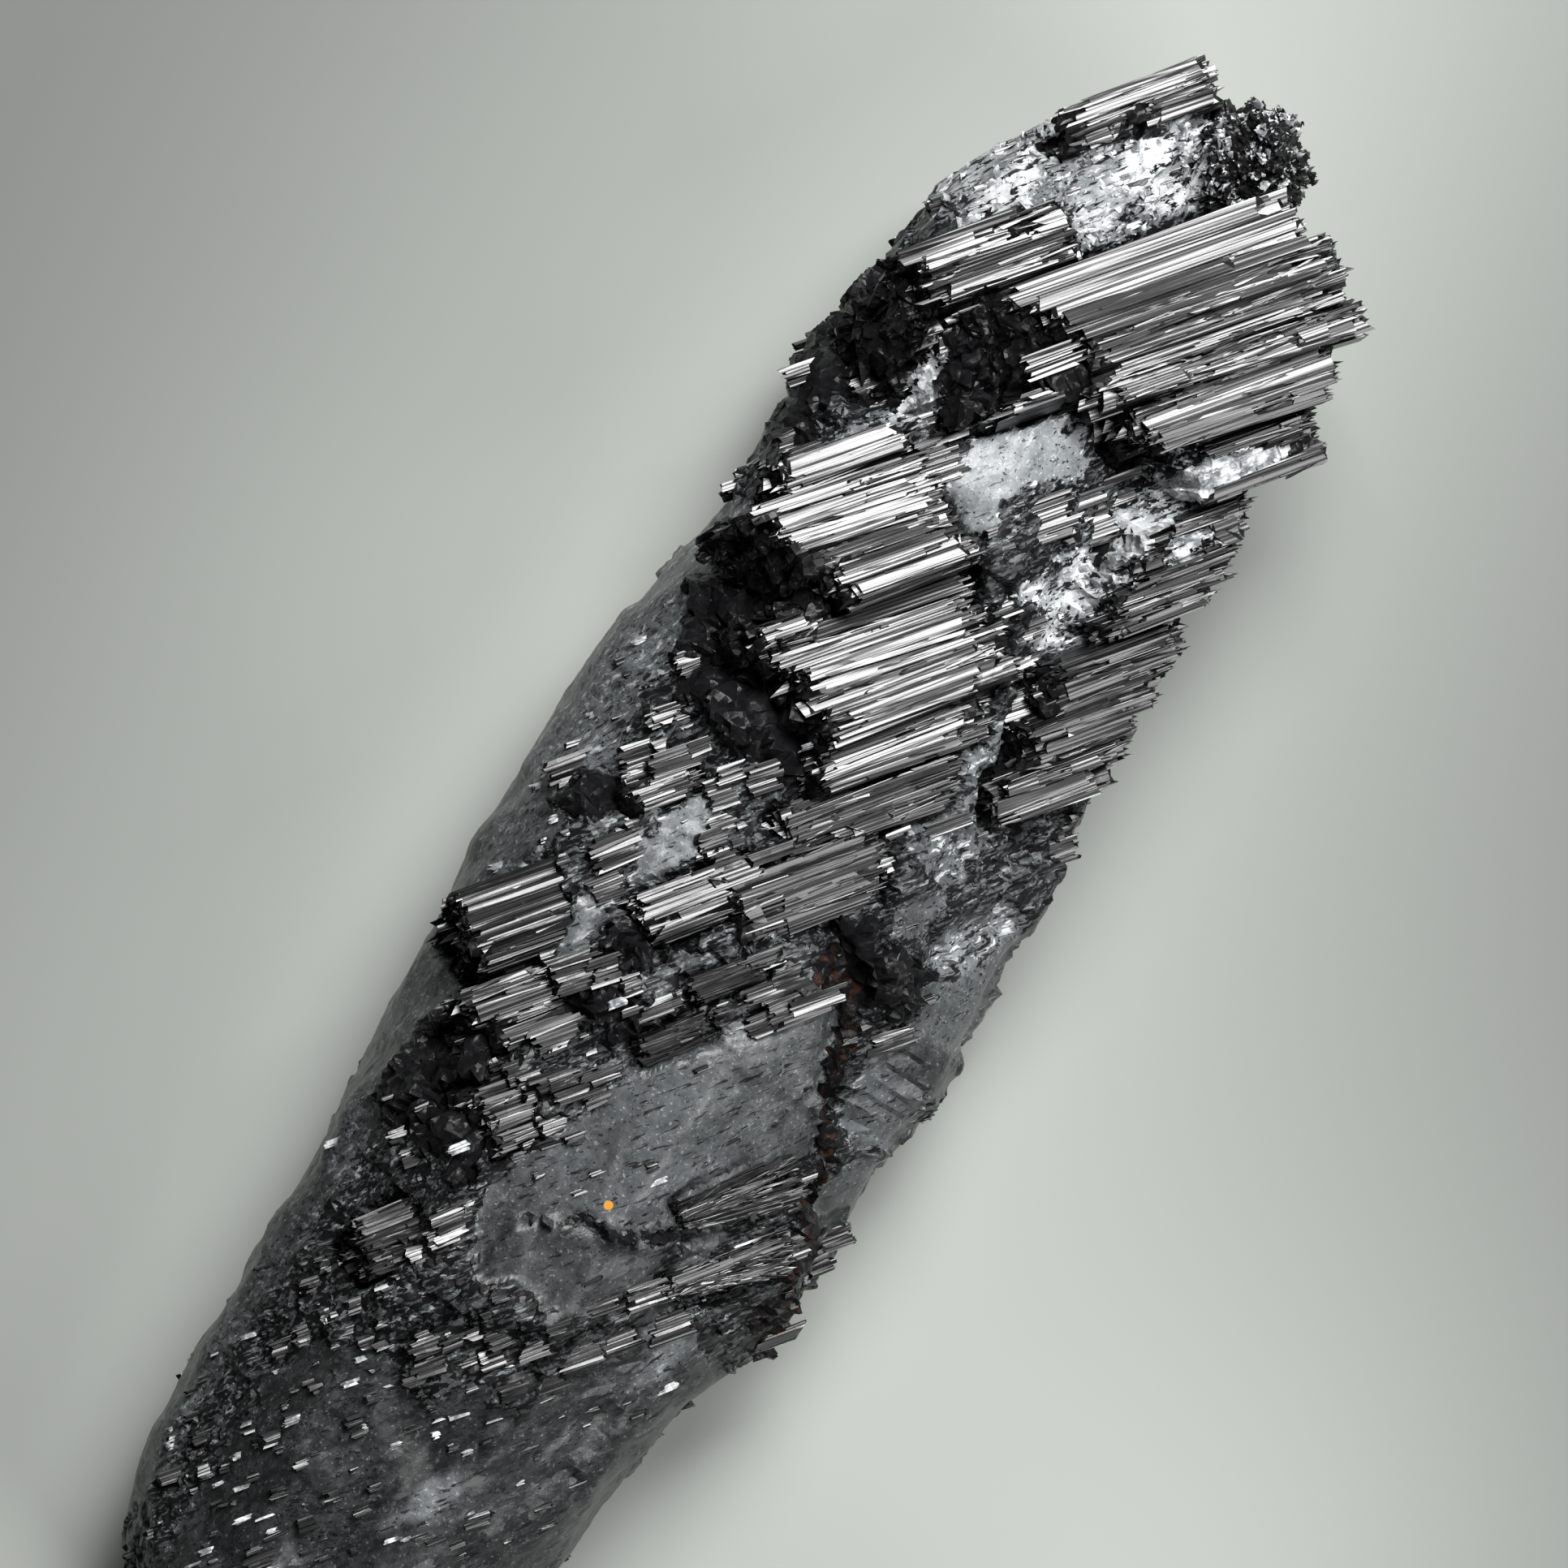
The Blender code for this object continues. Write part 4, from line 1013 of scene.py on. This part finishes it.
# %% The knob of grains
dice = np.random.default_rng(SEED + 3)
KNOB_GRAINS, KNOB_SUGAR = 700, 1000
bm = bmesh.new()
bm.from_mesh(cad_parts["crown_knob"].data)
bmesh.ops.remove_doubles(bm, verts=bm.verts, dist=0.001 * MM)
for _ in range(3):
    bmesh.ops.subdivide_edges(bm, edges=bm.edges, cuts=1, use_grid_fill=True)
    bmesh.ops.triangulate(bm, faces=bm.faces)
bmesh.ops.smooth_vert(bm, verts=bm.verts, factor=0.5, use_axis_x=True, use_axis_y=True, use_axis_z=True)
bm.normal_update()
for vertex in bm.verts:
    point = vertex.co / MM
    height = chips(point, 1.9, 1.1, 0.5) + chips(point * 1.3, 0.7, 1.0, 0.5) - 0.8
    vertex.co += vertex.normal * height * MM
bm.normal_update()
spots = [(Vector(to_plan(v.co)), v.normal.copy()) for v in bm.verts]
for k in dice.choice(len(spots), KNOB_GRAINS):
    add_crumb(bm, *spots[k], dice, dice.uniform(0.3, 1.0), proud=dice.uniform(0.0, 0.35))
knob = piece_from(bm, "crown_knob_grains", "tourmaline", "crown_knob")
blocks.append(knob)
bm = bmesh.new()
for k in dice.choice(len(spots), KNOB_SUGAR):
    patch = noise.noise(spots[k][0] / 2.6)
    if patch > -0.2:
        add_crumb(bm, *spots[k], dice, dice.uniform(0.25, 0.7), proud=dice.uniform(0.1, 0.4))
sugar = piece_from(bm, "crown_knob_sugar", "quartz")
print("knob:", len(knob.data.polygons), "and", len(sugar.data.polygons), "triangles")

# %% [markdown]
# ## Materials
# A node material is easier to read as a sum than as a web of boxes. A small class wraps a socket, so that
# `streaks * 0.5 + grain` adds the Math nodes by itself, and one method adds every other kind of node.

# %% A socket that does sums


class Value:
    """The output of a node, which can be used in a sum."""

    def __init__(self, graph, socket):
        self.graph, self.socket = graph, socket

    def sum(self, operation, other=None, swapped=False):
        terms = (other, self) if swapped else (self, other)
        inputs = {k: v for k, v in enumerate(terms) if v is not None}
        return self.graph.node("ShaderNodeMath", {"operation": operation}, inputs)

    def __add__(self, other):
        return self.sum("ADD", other)

    def __sub__(self, other):
        return self.sum("SUBTRACT", other)

    def __rsub__(self, other):
        return self.sum("SUBTRACT", other, swapped=True)

    def __mul__(self, other):
        return self.sum("MULTIPLY", other)

    def __truediv__(self, other):
        return self.sum("DIVIDE", other)

    def __pow__(self, other):
        return self.sum("POWER", other)

    __radd__, __rmul__ = __add__, __mul__

    def over(self, low, high):
        """0 below low, 1 above high, and a smooth step between."""
        settings = {"interpolation_type": "SMOOTHSTEP"}
        inputs = {"Value": self, "From Min": low, "From Max": high}
        return self.graph.node("ShaderNodeMapRange", settings, inputs)

    def also(self, output):
        """Another output of the same node."""
        return Value(self.graph, self.socket.node.outputs[output])

# %% A material that adds its own nodes


class Graph:
    """A material's nodes."""

    def __init__(self, name):
        self.material = bpy.data.materials.new(name)
        self.material.use_nodes = True
        self.tree = self.material.node_tree
        self.tree.nodes.clear()
        self.output = self.tree.nodes.new("ShaderNodeOutputMaterial")

    def node(self, kind, settings=None, inputs=None, output=0):
        made = self.tree.nodes.new(kind)
        for name, value in (settings or {}).items():
            if name == "stops":
                self.stops(made.color_ramp, value)
            else:
                setattr(made, name, value)
        for name, value in (inputs or {}).items():
            if isinstance(value, Value):
                self.tree.links.new(value.socket, made.inputs[name])
            else:
                made.inputs[name].default_value = value
        return Value(self, made.outputs[output])

    @staticmethod
    def stops(ramp, stops):
        """Sets a colour ramp's stops, given as (position, colour)."""
        while len(ramp.elements) < len(stops):
            ramp.elements.new(1.0)
        for element, (position, colour) in zip(ramp.elements, stops):
            element.position, element.color = position, (*colour, 1)

    def mix(self, share, first, second):
        """Two colours mixed."""
        inputs = {0: share}
        for socket, colour in ((6, first), (7, second)):
            inputs[socket] = colour if isinstance(colour, Value) else (*colour, 1)
        return self.node("ShaderNodeMix", {"data_type": "RGBA"}, inputs, output=2)

    def pair(self, operation, first, second, output=0):
        """Vector Math on two vectors."""
        return self.node("ShaderNodeVectorMath", {"operation": operation}, {0: first, 1: second}, output)

    def dot(self, vector, direction):
        direction = direction if isinstance(direction, Value) else tuple(direction)
        return self.pair("DOT_PRODUCT", vector, direction, output=1)

    def vector(self, x, y, z):
        return self.node("ShaderNodeCombineXYZ", None, {"X": x, "Y": y, "Z": z})

    def noise(self, vector, scale, detail=3.0, roughness=0.55):
        inputs = {"Vector": vector, "Scale": scale, "Detail": detail, "Roughness": roughness}
        return self.node("ShaderNodeTexNoise", None, inputs)

    def facets(self, vector, scale):
        """Height, in the vector's own units, of flat chips: a plane with its own tilt for each Voronoi
        cell."""
        tilt = self.node("ShaderNodeTexVoronoi", None, {"Vector": vector, "Scale": scale}, output="Color")
        seed = tilt.also("Position")
        tilt = self.pair("SUBTRACT", tilt, (0.5, 0.5, 0.5))
        return self.dot(self.pair("SUBTRACT", vector, seed), tilt)

    def attribute(self, name):
        return self.node("ShaderNodeAttribute", {"attribute_name": name}, output=2)

    def bump(self, height, strength, distance, normal=None):
        inputs = {"Height": height, "Strength": strength, "Distance": distance}
        if normal:
            inputs["Normal"] = normal
        return self.node("ShaderNodeBump", None, inputs)

    def principled(self, **inputs):
        inputs = {name.replace("_", " "): value for name, value in inputs.items()}
        return self.node("ShaderNodeBsdfPrincipled", None, inputs)

    def made_of(self, shader, other=None, share=None):
        """The material of one shader, or of two, with the other's share."""
        if other:
            shader = self.node("ShaderNodeMixShader", None, {0: share, 1: shader, 2: other})
        self.tree.links.new(shader.socket, self.output.inputs["Surface"])
        return self.material


def crystal_coordinates(graph, stretch):
    """Object coordinates in the crystals' own directions, squeezed along them by stretch, and unchanged."""
    place = graph.node("ShaderNodeTexCoord", output=3)
    l, s, h = (graph.dot(place, way) for way in (ALONG, ACROSS, OUT))
    return graph.vector(l / stretch, s, h), place


# %% [markdown]
# ### Tourmaline
# Black tourmaline is almost without colour of its own: what is seen is the light in its grooves. So the
# base is near black, and the work is in the bump: streaks that run with the crystals, and thin dull
# crevices between them. A broken end has no grooves. It is dull and falls into little flat chips, and so
# does the rubble that the blocks' meshes mark as broken.

# %% Tourmaline's finish
graph = Graph("black_tourmaline")
fine, place = crystal_coordinates(graph, 70.0)
coarse, _ = crystal_coordinates(graph, 35.0)
streaks = graph.noise(fine, 4200.0, 0.0)
grooves = graph.noise(coarse, 1200.0, 0.0)
crevices = graph.noise(fine, 900.0, 1.0) - 0.5
crevices = 1 - (crevices * crevices).over(0.0002, 0.0011)
facing = graph.node("ShaderNodeNewGeometry", output=3)
end_on = graph.dot(facing, ALONG).sum("ABSOLUTE").over(0.4, 0.65)
broken = end_on.sum("MAXIMUM", graph.attribute("broken"))
normal = graph.bump((grooves * 0.00010 + streaks * 0.00004) * (1 - broken), 1.0, 1.0)
chipped = graph.facets(place, 650.0) + graph.facets(place, 1700.0) * 0.6
normal = graph.bump(chipped * broken, 0.9, 1.0, normal)
dusty = graph.noise(place, 700.0, 3.0).over(0.35, 0.75)
colour = graph.mix(dusty, (0.005, 0.005, 0.006), (0.012, 0.012, 0.012))
glossy = graph.principled(Base_Color=colour, Roughness=0.24 + streaks * 0.1, Normal=normal, IOR=1.8)
dull = graph.principled(Base_Color=colour, Roughness=0.35, Normal=normal, IOR=1.62, Specular_IOR_Level=0.14)
tourmaline = graph.made_of(glossy, dull, broken.sum("MAXIMUM", crevices * 0.85))
for made in (*blocks, field, flank):
    made.data.materials.append(tourmaline)

# %% [markdown]
# ### Quartz
# The quartz is smoky and full of fine black needles, so it looks grey from dark things inside it and milky
# where it is crushed. The zones stored on the skin's points choose between those looks, and some carry
# painted light and shade as well: paler at the crown, darker towards the foot, darkest in a gap, and a black
# line of painted shade along the ledge. Their edges are sharpened here, since the points lie too far apart
# for a crisp one.

# %% Quartz's finish
YELLOW_GRAIN = (Vector((-28.0, -3.3, 0.0)) + PLAN_SHIFT) * MM  # a single one, on the large bare face
graph = Graph("smoky_quartz")
coordinates, place = crystal_coordinates(graph, 8.0)
flat_cells, _ = crystal_coordinates(graph, 2.5)
clouds = graph.noise(place, 190.0, 5.0, 0.62)
mottle = graph.noise(place, 1100.0, 3.0, 0.6)
specks = graph.noise(place, 2600.0, 2.0, 0.6)
needles = graph.noise(coordinates, 2600.0, 2.0, 0.6)
jag = (mottle - 0.5) * 0.9
bare_at = (graph.attribute("bare") + jag).over(0.44, 0.56)
black_and_shade_at = (graph.attribute("black") + jag).over(0.44, 0.56)
brown_at = (graph.attribute("brown") + jag).over(0.4, 0.7)
milk_at, rough_at = graph.attribute("milk"), graph.attribute("rough")
long_cells, _ = crystal_coordinates(graph, 4.5)
flecks = graph.noise(long_cells, 1500.0, 2.0, 0.6)
pale_flecks = (1 - flecks.over(0.36, 0.41)) * rough_at.over(0.36, 0.5) * milk_at * 1.6
flecks = flecks.over(0.55, 0.60) * rough_at.over(0.36, 0.5)
curls = (graph.noise(place, 620.0, 2.0) - 0.5).sum("ABSOLUTE")
curls = (1 - curls.over(0.004, 0.014)) * graph.noise(place, 330.0, 2.0).over(0.50, 0.58)
milky = milk_at + (clouds - 0.5) * 0.42 + (mottle - 0.5) * 0.32 + curls * 0.16
milky = milky + specks.over(0.62, 0.68) * 0.24 + pale_flecks
colour = graph.node("ShaderNodeValToRGB", {"stops": (
    (0.0, (0.016, 0.017, 0.018)),
    (0.16, (0.055, 0.059, 0.061)),
    (0.32, (0.125, 0.135, 0.140)),
    (0.6, (0.34, 0.36, 0.37)),
    (1.0, (0.76, 0.78, 0.79)),
)}, {"Fac": milky})
inclusions = needles.over(0.60, 0.66) * (1.2 - milk_at) + (1 - bare_at) * needles.over(0.43, 0.55)
inclusions = inclusions + (1 - specks.over(0.31, 0.37)) * 0.9 + flecks * 0.9
black_coat_and_shade = (0.009, 0.009, 0.010)
colour = graph.mix(inclusions.over(0.1, 0.9), colour, black_coat_and_shade)
# The black coat is black tourmaline in the black zones, and painted shade along the ledge.
colour = graph.mix(black_and_shade_at * 0.98, colour, black_coat_and_shade)
to_grain = graph.pair("SUBTRACT", place, tuple(YELLOW_GRAIN))
to_grain = graph.pair("MULTIPLY", to_grain, (1 / MM, 1 / MM, 0))  # millimetres in plan
yellow_at = 1 - (graph.dot(to_grain, to_grain) + mottle * 0.2).over(0.24, 0.3)
colour = graph.mix(yellow_at, colour, (0.75, 0.33, 0.03))
colour = graph.mix(brown_at * mottle.over(0.52, 0.62) * 0.7, colour, (0.050, 0.022, 0.013))
chipped = graph.facets(place, 600.0) * 0.7 + graph.facets(place, 1700.0) * 0.5
stepped = graph.facets(flat_cells, 1200.0)
grained = graph.facets(flat_cells, 1500.0) * (0.15 + rough_at * 0.55)
normal = graph.bump(mottle * 0.00005 + specks * 0.00002, 1.0, 1.0)
chipped = chipped * black_and_shade_at + (stepped * (1 - bare_at) + grained * bare_at) * (1 - black_and_shade_at)
normal = graph.bump(chipped, 0.9, 1.0, normal)
glassy = graph.principled(Base_Color=colour, Roughness=0.30 + mottle * 0.2, Normal=normal, IOR=1.54)
dull = graph.principled(Base_Color=colour, Roughness=0.3, Normal=normal, IOR=1.54, Specular_IOR_Level=0.16)
quartz = graph.made_of(glassy, dull, black_and_shade_at.sum("MAXIMUM", 0.75 - bare_at * 0.75))
quartz_piece.data.materials.append(quartz)

# %% Snow-white shattered quartz, for the crumbs and splinters, and for the blocks' cores in white rubble
graph = Graph("shattered_quartz")
place = graph.node("ShaderNodeTexCoord", output=3)
clouds = graph.noise(place, 700.0, 4.0, 0.6)
colour = graph.mix(clouds.over(0.38, 0.62), (0.20, 0.21, 0.22), (0.82, 0.84, 0.85))
normal = graph.bump(graph.facets(place, 1500.0), 0.9, 1.0)
snowy = graph.principled(Base_Color=colour, Roughness=0.22 + clouds * 0.2, Normal=normal, IOR=1.54)
shattered = graph.made_of(snowy)
for made in (*blocks, quartz_crumbs, splinters, sugar):
    made.data.materials.append(shattered)

# %% [markdown]
# ## Floor, light and camera
# The specimen lies on a pale floor with painted light in its grey: a painted band of light along the log,
# which lightens the log's own shadow, a painted pool of light beside its foot, and a painted slope of light
# across the rest. Black crystals show only what they mirror, so a large soft light stands behind the crown,
# low enough that the crystals' upper sides send it to the camera. A second one fills from the right, and the
# rest of the room is dim.

# %% Floor, with painted light in its grey
FLOOR_SIZE = 3.0
bm = bmesh.new()
bmesh.ops.create_grid(bm, x_segments=1, y_segments=1, size=FLOOR_SIZE / 2)
floor = bpy.data.objects.new("floor", mesh_from(bm, "floor"))
bpy.context.scene.collection.objects.link(floor)
PAINTED_LIGHT_SPOTS = (  # middle, reach and strength, in metres: painted light, a band along the log and a pool beside its foot
    ((-0.020, 0.010, 0), (0.150, 0.040, 1), 0.50),
    ((-0.040, -0.070, 0), (0.050, 0.050, 1), 0.40),
)
PAINTED_LIGHT_SLOPE, FLOOR_BASE = (-0.15, 0.47, 0), 0.063  # a painted slope of light: the rest of the floor's grey changes so, per metre
DARK_FLOOR, PALE_FLOOR = 0.22, 0.64
FLOOR_TINT = (0.954, 1.0, 0.941)
graph = Graph("floor_with_painted_light")
place = graph.node("ShaderNodeTexCoord", output=3)
# The floor's grey is painted light: a slope, and pale spots of painted light.
grey = graph.dot(place, PAINTED_LIGHT_SLOPE) + FLOOR_BASE
for middle, spread, strength in PAINTED_LIGHT_SPOTS:
    away = graph.pair("DIVIDE", graph.pair("SUBTRACT", place, middle), spread)
    grey = grey + (graph.dot(away, away) + 1) ** -1.0 * strength
floor_ends = [tuple(level * part for part in FLOOR_TINT) for level in (DARK_FLOOR, PALE_FLOOR)]
pale = graph.mix((grey - DARK_FLOOR) / (PALE_FLOOR - DARK_FLOOR), *floor_ends)
floor.data.materials.append(graph.made_of(graph.principled(Base_Color=pale, Roughness=0.85)))

# %% The camera looks straight down, turned so that the crown points up and to the right
PICTURE_UP = Vector((0.848, 0.530, 0.0))
PICTURE_RIGHT = Vector((0.530, -0.848, 0.0))
PICTURE_MIDDLE = Vector((11.4, 3.2, 30.0))  # plan millimetres
PICTURE_WIDTH = 138.0
CAMERA_HEIGHT = 0.75
centre = (PICTURE_MIDDLE + PLAN_SHIFT) * MM
camera = bpy.data.objects.new("camera", bpy.data.cameras.new("camera"))
bpy.context.scene.collection.objects.link(camera)
camera.data.sensor_width = 36.0
camera.data.lens = 36.0 * CAMERA_HEIGHT / (PICTURE_WIDTH * MM)
turn = Matrix((PICTURE_RIGHT, PICTURE_UP, Vector((0, 0, 1)))).transposed()
camera.matrix_world = Matrix.Translation(centre + Vector((0, 0, CAMERA_HEIGHT))) @ turn.to_4x4()
bpy.context.scene.camera = camera

# %% Lights


def soft_light(name, towards, aim, distance, size, power):
    """A rectangular light that hangs in a direction from the aimed point and faces it, with its long side
    along the crystals. towards is (along, across, out) in the crystals' own directions, seen from above."""
    light = bpy.data.lights.new(name, "AREA")
    light.shape, light.size, light.size_y = "RECTANGLE", size[0], size[1]
    light.energy = power
    made = bpy.data.objects.new(name, light)
    level = Vector((ALONG.x, ALONG.y, 0)).normalized()
    way = (level * towards[0] + ACROSS * towards[1] + Vector((0, 0, 1)) * towards[2]).normalized()
    side = (level - way * way.dot(level)).normalized()
    turn = Matrix((side, way.cross(side), way)).transposed()
    made.matrix_world = Matrix.Translation(aim + way * distance) @ turn.to_4x4()
    bpy.context.scene.collection.objects.link(made)


crown = (Vector((62, 0, 28)) + PLAN_SHIFT) * MM
soft_light("window", (0.37, 0.36, 0.86), crown, 0.38, (0.22, 0.18), 2.35)
soft_light("fill", (0.42, -0.58, 0.70), crown, 0.6, (0.34, 0.26), 1.7)
world = bpy.data.worlds.new("room")
bpy.context.scene.world = world
world.use_nodes = True
world.node_tree.nodes["Background"].inputs["Color"].default_value = (0.80, 0.83, 0.82, 1)
world.node_tree.nodes["Background"].inputs["Strength"].default_value = 0.07
bpy.context.scene.view_settings.view_transform = "Standard"

# %% Print the sizes, and finish
print("solids:", [round((h - l) / MM, 1) for l, h in zip(cad_low, cad_high)], "mm")
